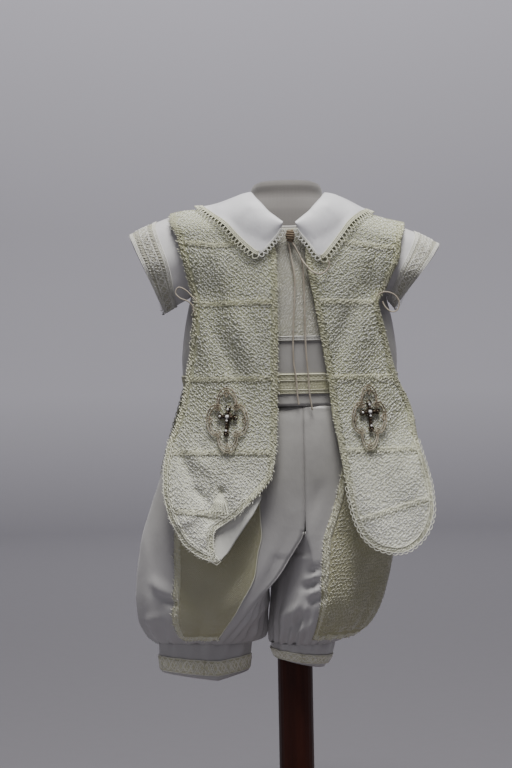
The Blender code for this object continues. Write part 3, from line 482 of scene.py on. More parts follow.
def dots(name: str, centres: Array, axes: Array, radius: Array, flatness: float = 0.8,
         sides: int = 8, rings: int = 4) -> Thing:
    """Small round beads in one piece.

    Args:
        name: name of the piece.
        centres: centre of each bead.
        axes: outward direction of each bead.
        radius: radius of each bead.
        flatness: height along its axis, as a share.
        sides: faces round a bead.
        rings: faces from pole to pole.

    Returns:
        The piece.
    """
    seed = np.where(np.abs(axes[:, 2:3]) < 0.9, [[0.0, 0.0, 1.0]], [[1.0, 0.0, 0.0]])
    across = unit(np.cross(axes, seed))
    third = np.cross(axes, across)
    polar = np.pi * np.arange(1, rings) / rings
    turn = corners(sides)
    ring = np.sin(polar)[:, None], np.cos(polar)[:, None] * flatness
    x = (ring[0] * np.cos(turn)).ravel()
    y = (ring[0] * np.sin(turn)).ravel()
    z = (ring[1] + 0 * turn).ravel()
    x, y, z = np.append(x, [0, 0]), np.append(y, [0, 0]), np.append(z, [flatness, -flatness])
    verts = (centres[:, None] + radius[:, None, None]
             * (across[:, None] * x[:, None] + third[:, None] * y[:, None] + axes[:, None] * z[:, None]))
    faces = []
    total = sides * (rings - 1)
    for base in range(0, len(centres) * (total + 2), total + 2):
        for k in range(sides):
            beyond = (k + 1) % sides
            faces.append([base + total, base + k, base + beyond])
            faces.append([base + total + 1, base + total - sides + beyond, base + total - sides + k])
            for row in range(rings - 2):
                low = base + row * sides
                faces.append([low + k, low + sides + k, low + sides + beyond, low + beyond])
    return new_piece(name, verts.reshape(-1, 3), faces)


def tube_faces(rings: int, sides: int) -> list[list[int]]:
    """Faces of a tube made of rings of points, closed at both ends.

    Args:
        rings: how many rings it has.
        sides: points of a ring.

    Returns:
        Corner numbers of each face; the two ends come last.
    """
    last = (rings - 1) * sides
    faces = [[low + k, low + (k + 1) % sides, low + sides + (k + 1) % sides, low + sides + k]
             for low in range(0, last, sides) for k in range(sides)]
    return faces + [list(range(sides))[::-1], list(range(last, last + sides))]


def tube(name: str, path: Array, radius: Array | float, sides: int, seed: Triple,
         worn: bool = True) -> Thing:
    """Tube round a path, closed at both ends.

    Args:
        name: name of the piece.
        path: points of its middle line.
        radius: its radius, everywhere or at each point of each ring.
        sides: points of a ring.
        seed: a direction in which no part of the path runs.
        worn: whether it sags with the shoulders.

    Returns:
        The piece.
    """
    along = unit(np.gradient(path, axis=0))
    out = unit(np.cross(along, np.array(seed)))
    third = np.cross(along, out)
    turn = corners(sides)
    ring = path[:, None] + radius * (out[:, None] * np.cos(turn)[:, None]
                                     + third[:, None] * np.sin(turn)[:, None])
    return new_piece(name, ring.reshape(-1, 3), tube_faces(len(path), sides), worn)


# -------------------- finishes
class Shader:
    """Material under construction: a Principled shader and the nodes that feed it."""

    def __init__(self, name: str) -> None:
        """Start a material of this name.

        Args:
            name: the material's name.
        """
        self.material = bpy.data.materials.new(name)
        self.material.use_nodes = True
        self.tree = self.material.node_tree
        self.principled = self.tree.nodes["Principled BSDF"]
        self.places = self.node("ShaderNodeTexCoord", "Object")

    def feed(self, target: Socket, value: object) -> None:
        """Join a socket to another node's output, or set it to a plain value.

        Args:
            target: the socket.
            value: a socket, a number or a colour.
        """
        if isinstance(value, bpy.types.NodeSocket):
            self.tree.links.new(value, target)
        else:
            target.default_value = value

    def set(self, **values: object) -> None:
        """Feed sockets of the Principled shader; _ stands for a space."""
        for key, value in values.items():
            self.feed(self.principled.inputs[key.replace("_", " ")], value)

    def node(self, kind: str, output: str, **values: object) -> Socket:
        """Add a node.

        Args:
            kind: type of the node.
            output: which of its outputs is wanted.
            **values: values or sources of its inputs; _ stands for a space.

        Returns:
            The output.
        """
        made = self.tree.nodes.new(kind)
        for key, value in values.items():
            self.feed(made.inputs[key.replace("_", " ")], value)
        return made.outputs[output]

    def stretched(self, scale: Triple, turn: Triple = (0, 0, 0)) -> Socket:
        """Object places with their axes scaled and turned."""
        return self.node("ShaderNodeMapping", "Vector", Vector=self.places, Scale=scale, Rotation=turn)

    def noise(self, scale: float, detail: float = 2.0, roughness: float = 0.5,
              places: Socket | None = None) -> Socket:
        """Noise from 0 to 1."""
        return self.node("ShaderNodeTexNoise", "Fac", Vector=places or self.places, Scale=scale,
                         Detail=detail, Roughness=roughness)

    def wave(self, scale: float, distortion: float, places: Socket, detail_scale: float = 1.0) -> Socket:
        """Parallel bands across the first axis, from 0 to 1."""
        return self.node("ShaderNodeTexWave", "Fac", Vector=places, Scale=scale, Distortion=distortion,
                         Detail_Scale=detail_scale)

    def larger(self, one: Socket, other: Socket) -> Socket:
        """The larger of two values.

        Args:
            one: the first value.
            other: the second value.

        Returns:
            The larger one.
        """
        made = self.tree.nodes.new("ShaderNodeMath")
        made.operation = "MAXIMUM"
        self.feed(made.inputs[0], one)
        self.feed(made.inputs[1], other)
        return made.outputs["Value"]

    def spread(self, value: Socket, low: float, high: float, to_low: float = 0.0,
               to_high: float = 1.0) -> Socket:
        """Stretch a value from one span to another, held at its ends."""
        return self.node("ShaderNodeMapRange", "Result", Value=value, From_Min=low, From_Max=high,
                         To_Min=to_low, To_Max=to_high)

    def height(self, low: float, high: float) -> Socket:
        """Height of a place between two levels in metres, from 0 to 1."""
        return self.spread(self.node("ShaderNodeSeparateXYZ", "Z", Vector=self.places), low, high)

    def bump(self, height: Socket, strength: float, distance: float, under: Socket | None = None) -> Socket:
        """Relief in the surface's shading, on top of another relief.

        Args:
            height: height of the relief.
            strength: its strength, to 1.
            distance: its depth in metres.
            under: the other relief, if any.

        Returns:
            The relief, for a normal socket.
        """
        beneath = {} if under is None else {"Normal": under}
        return self.node("ShaderNodeBump", "Normal", Strength=strength, Distance=distance, Height=height,
                         **beneath)

    def blend(self, share: Socket, low: Triple | Socket, high: Triple | Socket) -> Socket:
        """Mix two colours.

        Args:
            share: share of the second.
            low: first colour, plain or another node's.
            high: second colour, plain or another node's.

        Returns:
            The mixed colour.
        """
        made = self.tree.nodes.new("ShaderNodeMix")
        made.data_type = "RGBA"
        self.feed(made.inputs["Factor"], share)
        colours = [socket for socket in made.inputs if socket.type == "RGBA"]
        for socket, colour in zip(colours, (low, high)):
            self.feed(socket, (*colour, 1.0) if isinstance(colour, tuple) else colour)
        return next(socket for socket in made.outputs if socket.type == "RGBA")


@dataclass(frozen=True)
class Finish:
    """Base of all finishes: a name and two colours that the surface wanders between."""

    name: str
    dark: Triple
    light: Triple
    hem: Triple | None = None  # colour of the lowest part; painted light that makes the lower parts lighter than the upper ones

    def build(self, shader: Shader) -> None:
        """Add this finish's nodes."""
        raise NotImplementedError

    def material(self) -> bpy.types.Material:
        """Give the finish's material, which is made once.

        Returns:
            The material.
        """
        known = bpy.data.materials.get(self.name)
        if known is not None:
            return known
        shader = Shader(self.name)
        self.build(shader)
        return shader.material

    def mixed(self, shader: Shader, share: Socket, low: float = 0.375, high: float = 0.50) -> Socket:
        """Mix the two colours; the hem's takes over from a high to a low level, as painted light that makes
        the lower parts lighter.
        """
        colour = shader.blend(share, self.dark, self.light)
        return colour if self.hem is None else shader.blend(shader.height(low, high), self.hem, colour)

    def dress(self, thing: Thing) -> None:
        """Give a piece this finish."""
        thing.data.materials.clear()
        thing.data.materials.append(self.material())


@dataclass(frozen=True)
class Satin(Finish):
    """Smooth woven satin: low sheen, fine long floats and soft handling wrinkles."""

    roughness: float = 0.42

    def build(self, shader: Shader) -> None:
        """Add the satin's nodes.

        Args:
            shader: the material that takes them.
        """
        share = shader.spread(shader.noise(14.0, 3.0), 0.3, 0.7)
        grain = shader.noise(1500.0, 1.0, 0.5, shader.stretched((1.0, 1.0, 0.12)))
        wrinkles = shader.noise(75.0, 3.0, 0.55, shader.stretched((1.0, 1.0, 0.6)))
        shader.set(Sheen_Weight=0.25, Sheen_Roughness=0.4, Specular_IOR_Level=0.45,
                   # painted light and shade by height: where a hem colour is given, it holds below 0.33 m
                   # and the darker two colours hold above 0.43 m
                   Base_Color=self.mixed(shader, share, 0.33, 0.43),
                   Roughness=shader.spread(grain, 0.2, 0.8, self.roughness - 0.06, self.roughness + 0.08),
                   Normal=shader.bump(grain, 0.12, 0.0002, shader.bump(wrinkles, 0.16, 0.004)))


@dataclass(frozen=True)
class NetGround(Finish):
    """Fine net under the lace's stitches: the holes between crossing threads are painted dark, as the shade
    seen through them.
    """

    pitch: float = 1.5

    def build(self, shader: Shader) -> None:
        """Add the net's nodes.

        Args:
            shader: the material that takes them.
        """
        slanted = [shader.stretched((1.0, 0.4, 1.0), (0.0, turn, 0.0)) for turn in (np.pi / 4, -np.pi / 4)]
        net = shader.larger(*(shader.wave(314.0 / self.pitch, 3.0, places, 2.0) for places in slanted))
        stain = shader.spread(shader.noise(22.0, 3.0), 0.35, 0.7)
        warm = tuple(value * share for value, share in zip(self.light, (0.96, 0.96, 0.84)))
        # painted shade: the net's holes take the dark colour
        ground = shader.blend(shader.spread(net, 0.4, 0.9), self.dark, shader.blend(stain, self.light, warm))
        # painted light: the hem colour takes over low down and makes the tails lighter
        if self.hem is not None:
            ground = shader.blend(shader.height(0.375, 0.50), self.hem, ground)
        shader.set(Roughness=0.85, Sheen_Weight=0.2, Specular_IOR_Level=0.25, Base_Color=ground,
                   Normal=shader.bump(net, 0.6, 0.0006))


@dataclass(frozen=True)
class Thread(Finish):
    """Soft twisted thread, a little uneven in colour."""

    roughness: float = 0.6
    sheen: float = 0.35

    def build(self, shader: Shader) -> None:
        """Add the thread's nodes.

        Args:
            shader: the material that takes them.
        """
        twist = shader.noise(1100.0, 2.0)
        shader.set(Sheen_Weight=self.sheen, Sheen_Roughness=0.45, Specular_IOR_Level=0.4,
                   Base_Color=self.mixed(shader, shader.spread(shader.noise(60.0, 4.0), 0.3, 0.7)),
                   Roughness=shader.spread(twist, 0.2, 0.8, self.roughness - 0.1, self.roughness + 0.15),
                   Normal=shader.bump(twist, 0.35, 0.0003))


@dataclass(frozen=True)
class FormCloth(Finish):
    """Close knitted cover of the dress form."""

    def build(self, shader: Shader) -> None:
        """Add the cover's nodes.

        Args:
            shader: the material that takes them.
        """
        ribs = shader.bump(shader.wave(75.0, 0.6, shader.stretched((1.0, 1.0, 0.0))), 0.1, 0.0004)
        shader.set(Roughness=0.85, Sheen_Weight=0.3, Base_Color=self.mixed(shader, shader.noise(18.0, 3.0)),
                   Normal=shader.bump(shader.noise(900.0, 2.0), 0.25, 0.0004, ribs))


@dataclass(frozen=True)
class Wood(Finish):
    """Dark lacquered wood with long grain and a dull gloss."""

    def build(self, shader: Shader) -> None:
        """Add the wood's nodes.

        Args:
            shader: the material that takes them.
        """
        grain = shader.noise(60.0, 5.0, 0.6, shader.stretched((1.0, 1.0, 0.06)))
        pores = shader.noise(420.0, 2.0, 0.5, shader.stretched((1.0, 1.0, 0.04)))
        shader.set(Coat_Weight=0.1, Coat_Roughness=0.25, Specular_IOR_Level=0.22,
                   Base_Color=self.mixed(shader, shader.spread(grain, 0.3, 0.75)),
                   Roughness=shader.spread(shader.noise(30.0, 3.0), 0.2, 0.8, 0.32, 0.5),
                   Normal=shader.bump(pores, 0.12, 0.0003))


@dataclass(frozen=True)
class Metal(Finish):
    """Dark aged metal with worn high spots."""

    roughness: float = 0.38

    def build(self, shader: Shader) -> None:
        """Add the metal's nodes.

        Args:
            shader: the material that takes them.
        """
        wear = shader.spread(shader.noise(350.0, 4.0), 0.35, 0.75)
        shader.set(Metallic=0.75, Base_Color=self.mixed(shader, wear),
                   Roughness=shader.spread(wear, 0.0, 1.0, self.roughness + 0.15, self.roughness - 0.1),
                   Normal=shader.bump(shader.noise(900.0, 2.0), 0.3, 0.0003))


@dataclass(frozen=True)
class Pearl(Finish):
    """Small glass pearls."""

    def build(self, shader: Shader) -> None:
        """Add the pearls' nodes."""
        shader.set(Coat_Weight=0.8, Coat_Roughness=0.08, Base_Color=self.mixed(shader, shader.noise(500.0)),
                   Roughness=shader.spread(shader.noise(300.0), 0.2, 0.8, 0.18, 0.3))


@dataclass(frozen=True)
class Paper(Finish):
    """Pale studio paper, with painted shade on the floor and painted light towards the top of the wall."""

    floor_shade_share: float = 0.58  # painted shade: how light the floor is, as a share of the wall
    # painted light: how much lighter the top of the wall is
    top_light_share: float = 1.22

    def build(self, shader: Shader) -> None:
        """Add the paper's nodes.

        Args:
            shader: the material that takes them.
        """
        low = tuple(value * self.floor_shade_share for value in self.dark)
        top = tuple(value * self.top_light_share for value in self.light)
        # painted shade on the floor and painted light high on the wall
        wall = shader.blend(shader.height(0.0, 0.5), low, self.mixed(shader, shader.noise(1.5, 2.0)))
        shader.set(Specular_IOR_Level=0.1, Base_Color=shader.blend(shader.height(0.5, 2.4), wall, top),
                   Roughness=shader.spread(shader.noise(40.0), 0.2, 0.8, 0.85, 0.95))


# The body and leg satin's two colours are darkened as painted shade on the bodice, the waist and the tops of
# the legs; its lighter third colour takes over low on the legs and on the cuffs.
SATIN = Satin("soft_white_satin", (0.38, 0.372, 0.352), (0.45, 0.44, 0.42), (0.56, 0.55, 0.545), 0.36)
# The sleeve satin is the same satin as the body's, made lighter as painted light where the top light falls
# on the sleeves.
LIT_SLEEVE_SATIN = Satin("sleeve_satin", (0.70, 0.69, 0.69), (0.78, 0.77, 0.775), roughness=0.4)
COLLAR_SATIN = Satin("bright_white_satin", (0.80, 0.80, 0.83), (0.90, 0.90, 0.92), roughness=0.5)
LINING_SATIN = Satin("grey_lining_satin", (0.70, 0.70, 0.65), (0.82, 0.82, 0.76), roughness=0.55)
# The third colours of the nets, stitches, bands, crochet and soutache are painted light: they make the
# flared vest tails and everything else low down lighter.
VEST_GROUND = NetGround("vest_net", (0.28, 0.29, 0.185), (0.57, 0.58, 0.43), (0.86, 0.865, 0.72), 2.0)
LACE_GROUND = NetGround("romper_net", (0.33, 0.32, 0.255), (0.60, 0.59, 0.51), pitch=1.6)
LEG_GROUND = NetGround("leg_net", (0.38, 0.37, 0.24), (0.62, 0.605, 0.43), pitch=1.8)
BAND_GROUND = NetGround("band_net", (0.46, 0.455, 0.30), (0.70, 0.69, 0.51), (0.78, 0.77, 0.58), 1.4)
TRIM_GROUND = NetGround("trim_net", (0.30, 0.305, 0.19), (0.52, 0.52, 0.37), (0.60, 0.60, 0.46), 1.8)
VEST_THREAD = Thread("vest_stitch_thread", (0.84, 0.845, 0.75), (0.98, 0.985, 0.93), (1.0, 1.0, 0.97), 0.4,
                     0.5)
LACE_THREAD = Thread("romper_lace_thread", (0.74, 0.735, 0.68), (0.94, 0.935, 0.89), roughness=0.5)
LEG_THREAD = Thread("leg_lace_thread", (0.72, 0.71, 0.57), (0.97, 0.96, 0.86), roughness=0.5)
CROCHET = Thread("ivory_crochet_thread", (0.74, 0.74, 0.56), (0.93, 0.925, 0.77), (0.97, 0.97, 0.85), 0.55)
BAND_THREAD = Thread("band_thread", (0.62, 0.61, 0.43), (0.90, 0.89, 0.71), (1.0, 0.99, 0.87), 0.55)
WHITE_CROCHET = Thread("white_crochet_thread", (0.82, 0.82, 0.74), (0.94, 0.94, 0.89), roughness=0.6)
SOUTACHE = Thread("beige_soutache", (0.16, 0.12, 0.075), (0.40, 0.33, 0.23), (0.85, 0.81, 0.64), 0.6)
KNOT_CORD = Thread("brown_knot_cord", (0.11, 0.08, 0.045), (0.24, 0.18, 0.115), roughness=0.7)
TIE_CORD = Thread("taupe_tie_cord", (0.36, 0.31, 0.24), (0.52, 0.46, 0.37), roughness=0.6)
# The form cover's colours are painted shade: a dark grey that stands for the shadow over the neck, darker
# than the cover's own colour.
SHADED_FORM_COVER = FormCloth("form_cover_painted_shade", (0.15, 0.141, 0.134), (0.195, 0.185, 0.176))
WOOD = Wood("reddish_brown_wood", (0.026, 0.0045, 0.002), (0.075, 0.018, 0.009))
METAL = Metal("aged_dark_metal", (0.045, 0.032, 0.022), (0.19, 0.145, 0.10))
PEARL = Pearl("glass_pearl", (0.80, 0.79, 0.76), (0.93, 0.93, 0.92))
BACKDROP = Paper("grey_backdrop", (0.36, 0.35, 0.385), (0.375, 0.365, 0.40))


def add(thing: Thing, finish: Finish, slot: str, *nodes: str) -> Thing:
    """Give a piece its finish and take it into the outfit.

    Args:
        thing: the piece.
        finish: what it is made of.
        slot: material slot of the record that it belongs to; not used.
        nodes: solids that it stands for.

    Returns:
        The piece.
    """
    finish.dress(thing)
    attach(thing, "root")
    if nodes:
        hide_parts(*nodes)
    log.info("%s: %d faces, for %s", thing.name, len(thing.data.polygons), ", ".join(nodes) or "detail")
    return thing


# -------------------- sizes shared with the solids
FORM = Table("z half_width half_depth", (
    (764, 31, 28), (762, 37, 34), (757, 40.5, 37.5), (749, 42, 38.5), (743.5, 48, 41),
    (740, 60, 44), (735, 78, 48), (729.5, 94, 52), (720, 103, 56), (706, 106, 60),
    (682, 104, 64), (640, 96, 67), (590, 88, 67), (540, 84, 64), (500, 88, 67),
    (466, 89, 68), (445, 83, 63), (432, 64, 48), (428, 44, 34)))
SHOULDER_LIFT = 2.1
CHEST_LIFT = 4.6
ARM_TOP_Z = 735.0
ARM_EASE = 2.4
SHOULDER_SPAN = (700.0, 746.0)
ARMHOLE_EDGE = {708.1: 61, 722.1: 68, 731.6: 90, 737.1: 90, 742.1: 90, 745.6: 90}
CHEST_TOP_Z = 684.0
WAIST_SEAM_Z = 507.2
SEAM = 0.3
BAND_TOP_Z = 544.0
BAND_BOTTOM_Z = 521.0


def bodice_table() -> Table:
    """Work out the bodice's sizes: shoulder rows that follow the form, then the loose rows below.

    Returns:
        The table.
    """
    rows = [(684.0, 107.5, 67.0, 60), (666.0, 108, 69.0, 64), (650.0, 109, 70.5, 72),
            (634, 112, 71.5, 90), (612, 117, 72.5, 90), (580, 122, 73.5, 90),
            (562, 123.5, 73.5, 90), (BAND_TOP_Z, 123, 73, 90), (BAND_BOTTOM_Z, 120, 72, 90),
            (WAIST_SEAM_Z + SEAM, 117, 71.5, 90)]
    for z, half_width, half_depth in FORM.rows:
        height = z + SHOULDER_LIFT
        if SHOULDER_SPAN[0] < height < SHOULDER_SPAN[1]:
            edge = ARMHOLE_EDGE[round(height, 1)]
            lift = SHOULDER_LIFT + (0.0 if height > ARM_TOP_Z else ARM_EASE)
            rows.append((height, half_width + lift, half_depth + CHEST_LIFT, edge))
    return Table("z half_width half_depth edge", tuple(rows))


BODICE = bodice_table()
BODICE_TOP_Z = BODICE.span("z")[1]


def bodice_depth(x: Array, z: Array) -> Array:
    """How far the outside of the bodice stands from the middle plane."""
    across = np.clip(np.abs(x) / BODICE.read("half_width", z), 0, 1)
    return np.where(z > BODICE_TOP_Z, 0.0, BODICE.read("half_depth", z) * np.sqrt(1 - across ** 2))


def bodice_width(y: Array, z: Array) -> Array:
    """Distance of the bodice's outside from the middle at a depth and height."""
    deep = np.clip(np.abs(y) / BODICE.read("half_depth", z), 0, 1)
    return BODICE.read("half_width", z) * np.sqrt(1 - deep ** 2)


@dataclass
class Faced(Cloth):
    """Surface of a front or a back piece with creases."""

    facing: Facing
    creases: Creases

    def __post_init__(self) -> None:
        """Set which way is out."""
        self.sense = -float(self.facing.value)


class Bodice(Faced):
    """One half of the bodice; a is the angle from the middle in degrees, b the height."""

    def form(self, a: Array, b: Array) -> Array:
        """Points of the outside, in millimetres.

        Args:
            a: first number of each place.
            b: second number of each place.

        Returns:
            The points.
        """
        turn = np.radians(a)
        neck_z = 709.0 if self.facing is Facing.FRONT else 738.0
        dip = (BODICE_TOP_Z - neck_z) * np.cos(turn) ** 2
        span = BODICE_TOP_Z - CHEST_TOP_Z
        z = np.where(b > CHEST_TOP_Z, CHEST_TOP_Z + (b - CHEST_TOP_Z) * (1 - dip / span), b)
        x = BODICE.read("half_width", z) * np.sin(turn)
        y = BODICE.read("half_depth", z) * np.cos(turn) + RIM_LEAN
        puff = relief(self.creases, x, z) * np.cos(turn)
        return points(x, self.facing.value * (y + puff), z)


@dataclass
class FrontPlane(Cloth):
    """The bodice's front; a is the distance to the right, b the height."""

    bodice: Bodice

    def form(self, a: Array, b: Array) -> Array:
        """Points of the outside, in millimetres."""
        y = bodice_depth(a, b) + RIM_LEAN + relief(self.bodice.creases, a, b)
        return points(a, -y, b)


# -------------------- vest as a surface
NECK_SIDE_X = 50.0
RIDGE_NECK_Z = 748.2
RIDGE_SLOPE = 0.212
ROOM_TOP_Z = 690.0
SHOULDER_ROUND = 30.0
NECK_SCOOP = 15.0
VEST_RISE = 2.6
VEST_STAND = 5.2
TAIL_FOLD = 2.6
TAIL_FOLD_TOP_Z = 455.0
TAIL_FOLD_FADE = 60.0
TAIL_FOLD_SLANT = 0.35
TAIL_FOLD_PITCH = 11.0
EDGING = 6.5  # width of the crochet edging

VEST_OVAL = Table("z half_width depth", (
    (748, 165, 56), (700, 160, 68), (680, 155, 73), (630, 133, 79), (580, 134, 80), (520, 146, 81),
    (480, 160, 85), (440, 182, 90), (400, 200, 95.5), (360, 212, 100), (320, 215, 103)))
VEST_LEFT = Table("z inner outer", (
    (748.2, 50, 134), (728, 48, 133), (713, 41, 127), (698, 25, 124.5), (684, 15, 121.5),
    (667, 13.5, 117.5), (640, 13.4, 110.5), (629, 13.4, 107.5), (583, 14, 111.5), (549, 14.8, 116.5),
    (514, 15.6, 123), (484, 16.6, 132), (472, 17.2, 138), (456, 18.5, 142), (432, 23, 145),
    (416, 33.5, 145), (403, 47, 143), (386, 65, 138.5), (377, 79, 134), (370, 88, 130), (359, 89, 124),
    (347, 87, 110.5), (340, 85, 98), (337.5, 84.5, 91)))
VEST_RIGHT = Table("z inner outer", (
    (748.2, 50, 134), (728, 48, 131), (713, 42, 128), (698, 29, 127.5), (684, 18.5, 125),
    (667, 19.5, 118), (640, 24, 108), (627, 26.5, 100.5), (589, 33, 108.5), (560, 37.5, 115),
    (537, 41, 121.5), (511, 43.5, 134), (497, 45, 138.5), (465, 51, 143), (435, 56, 151.5),
    (412, 60.5, 156), (391, 64.5, 157), (372, 71, 152.5), (358, 80, 144), (350, 90, 135),
    (345.5, 101, 127), (343.5, 109, 121)))
VEST_BACK = Table("z inner outer", (
    (748.2, 0, 134), (728, 0, 132), (706, 0, 127.5), (684, 0, 123), (660, 0, 116), (629, 0, 105),
    (583, 0, 110.5), (549, 0, 118), (514, 0, 128), (465, 0, 143), (427, 0, 152), (396, 0, 153.5),
    (366, 0, 146), (350, 0, 134), (340, 0, 120), (333, 0, 101), (329.5, 0, 82)))


def ridge_z(x: Array) -> Array:
    """Height of the vest's shoulder seam at a distance from the middle."""
    return RIDGE_NECK_Z - RIDGE_SLOPE * np.maximum(np.abs(x) - NECK_SIDE_X, 0.0)


def vest_depth(x: Array, z: Array) -> Array:
    """How far the outside of the vest stands from the middle plane, front or back.

    Args:
        x: distance to the right.
        z: height.

    Returns:
        The depth at each place.
    """
    drop = ridge_z(x) - z
    over = 1 - np.clip(drop / SHOULDER_ROUND, 0, 1)
    across = np.clip(np.abs(x) / VEST_OVAL.read("half_width", z), 0, 1)
    own = VEST_OVAL.read("depth", z) * np.sqrt(1 - across ** 2) * np.sqrt(1 - over ** 2)
    fade = np.clip((TAIL_FOLD_TOP_Z - z) / TAIL_FOLD_FADE, 0, 1)
    own = own + TAIL_FOLD * fade * np.sin((x + TAIL_FOLD_SLANT * z) / TAIL_FOLD_PITCH)
    rest = bodice_depth(x, z - VEST_RISE) + VEST_STAND * np.clip(drop / 5, 0, 1)
    return np.where(drop <= 0, 0.0, np.maximum(own, rest))


class VestPanel(Faced):
    """One panel of the vest; a is the distance to the right, b the level."""

    def form(self, a: Array, b: Array) -> Array:
        """Points of the outside, in millimetres.

        Args:
            a: first number of each place.
            b: second number of each place.

        Returns:
            The points.
        """
        fade = np.clip((b - ROOM_TOP_Z) / (RIDGE_NECK_Z - ROOM_TOP_Z), 0, 1)
        top = ridge_z(a)
        if self.facing is Facing.BACK:
            scoop = NECK_SCOOP * (1 - np.clip(a / NECK_SIDE_X, -1, 1) ** 2) ** 2
            top = np.where(np.abs(a) < NECK_SIDE_X, RIDGE_NECK_Z - scoop, top)
        z = b + (top - RIDGE_NECK_Z) * fade
        y = vest_depth(a, z) + RIM_LEAN + relief(self.creases, a, z)
        return points(a, self.facing.value * y, z)


# -------------------- legs, cuffs, sleeves, collar
CROTCH_Z = 368.0
INNER_ROUND = Table("z share", ((CROTCH_Z, 0.0), (344, 0.1), (318, 0.35), (292, 0.75), (270, 1.0)))
CUFF_TOP_Z = 236.9
LEG_LEFT = Table("z crest outer inner half_depth lace_from lace_to gather flute", (
    (507.2, 12.8, -117, -24.4, 71.5, 18, 52, 0.5, 0), (492, 12.8, -126, -24.4, 74.5, 18, 52, 0.7, 0.8),
    (462, 12.8, -138, -24.4, 77.5, 17, 54, 0, 2), (428, 12.8, -149, -24.4, 78.5, 17, 55, 0, 2.8),
    (396, 12.8, -160, -24.4, 78, 16.5, 55.5, 0, 3), (368, 11.5, -168.5, -24.4, 77, 15, 54, 0, 3.2),
    (344, -1, -173.5, -25.6, 75, 13, 51, 0, 3.4), (318, -17, -177.5, -27.4, 72, 10, 47, 0.2, 3.6),
    (292, -42, -179, -29, 67, 6.5, 43.5, 0.6, 3.4), (270, -61, -177, -31.4, 58, 4.5, 41, 1.2, 2.8),
    (253, -74, -171, -32.5, 45.5, 4.5, 36.5, 1.9, 1.6), (242, -82.5, -163.5, -36.5, 31.5, 4.5, 32, 2, 0.6),
    (237.2, -86, -157, -51, 24, 4.5, 30, 1.6, 0)))
LEG_RIGHT = Table("z crest outer inner half_depth lace_from lace_to gather flute", (
    (507.2, 12.9, 117, -24, 71.5, 28, 90, 0.5, 0), (492, 12.9, 121, -24, 74.5, 27, 90, 0.7, 0.8),
    (462, 12.9, 125, -24, 77.5, 25, 90, 0, 2), (428, 12.9, 124.5, -24, 78.5, 21, 90, 0, 2.6),
    (396, 12.9, 122, -24, 78, 17, 90, 0, 2.8), (368, 13.3, 118.5, -24, 77, 12, 90, 0, 2.8),
    (344, 19, 113.5, -24.5, 75.8, 7.5, 90, 0, 3), (318, 22.5, 108, -25.3, 74, 5, 90, 0.2, 2.9),
    (292, 23, 101, -26.5, 71, 4.5, 90, 0.6, 2.6), (270, 20, 91.5, -27.6, 64, 4.5, 90, 1.2, 2.2),
    (253, 16.5, 78, -28.2, 54.5, 4.5, 90, 1.9, 1.4), (242, 14, 59, -28, 45.5, 4.5, 90, 2, 0.5),
    (237.2, 12, 47, -27, 41, 4.5, 90, 1.6, 0)))
LEG_FLUTES = 5
LEG_GATHERS = 23


@dataclass
class Leg(Cloth):
    """One full leg; a is the angle from the front crest round the outer side, b the height."""

    side: Side
    sizes: Table
    creases: Creases
    back_creases: Creases

    probe = (0.5, 0.4)

    def __post_init__(self) -> None:
        """Set which way is out."""
        self.sense = float(self.side.value)

    def form(self, a: Array, b: Array) -> Array:
        """Points of the outside, in millimetres.

        Args:
            a: first number of each place.
            b: second number of each place.

        Returns:
            The points.
        """
        a = np.mod(a, 360.0)
        turn = np.radians(a)
        crest, outer, inner = (self.sizes.read(column, b) for column in ("crest", "outer", "inner"))
        share = INNER_ROUND.read("share", b)
        rise = np.maximum(1 - np.abs(np.cos(turn)) ** (1.6 + 0.4 * share), 0) ** (1 - 0.5 * share)
        outside = a <= 180
        x = crest + np.where(outside, (outer - crest) * np.sin(turn), (inner - crest) * rise)
        deep = self.sizes.read("half_depth", b)
        y = -deep * np.cos(turn)
        calm = np.where(b > CROTCH_Z - 26, np.clip(np.abs(np.sin(turn)) * 4, 0, 1) * outside, 1.0)
        gather = self.sizes.read("gather", b) * (np.cos(LEG_GATHERS * turn + 1.4 * np.sin(3 * turn))
                                                 + 0.5 * np.sin(9 * turn + 2.0))
        flute = self.sizes.read("flute", b) * np.sin(LEG_FLUTES * turn + 0.6) * np.abs(
            np.sin(turn / 2) * np.sin(turn)) * outside
        middle = (outer + inner) / 2
        away = unit(points(x - middle, y, 0 * b))
        front = np.clip(0.5 - y / (0.8 * deep), 0, 1)
        folds = relief(self.creases, x, b) * front + relief(self.back_creases, x, b) * (1 - front)
        stand = (gather + flute) * calm + folds * np.clip(calm * 1.5, 0, 1)
        return points(x, y, b) + away * stand[..., None]


@dataclass
class LegPanel(Cloth):
    """Lace panel of a leg laid out flat; a is the distance across it, b the height."""

    leg: Leg
    width: float  # laid out flat

    probe = (0.4, 0.4)

    def __post_init__(self) -> None:
        """Set which way is out."""
        self.sense = self.leg.sense

    def angle(self, a: Array, b: Array) -> Array:
        """Angle round the leg of a place on the panel."""
        start = self.leg.sizes.read("lace_from", b)
        return start + (self.leg.sizes.read("lace_to", b) - start) * np.asarray(a) / self.width

    def form(self, a: Array, b: Array) -> Array:
        """Points of the outside, in millimetres."""
        return self.leg.form(self.angle(a, b), b)


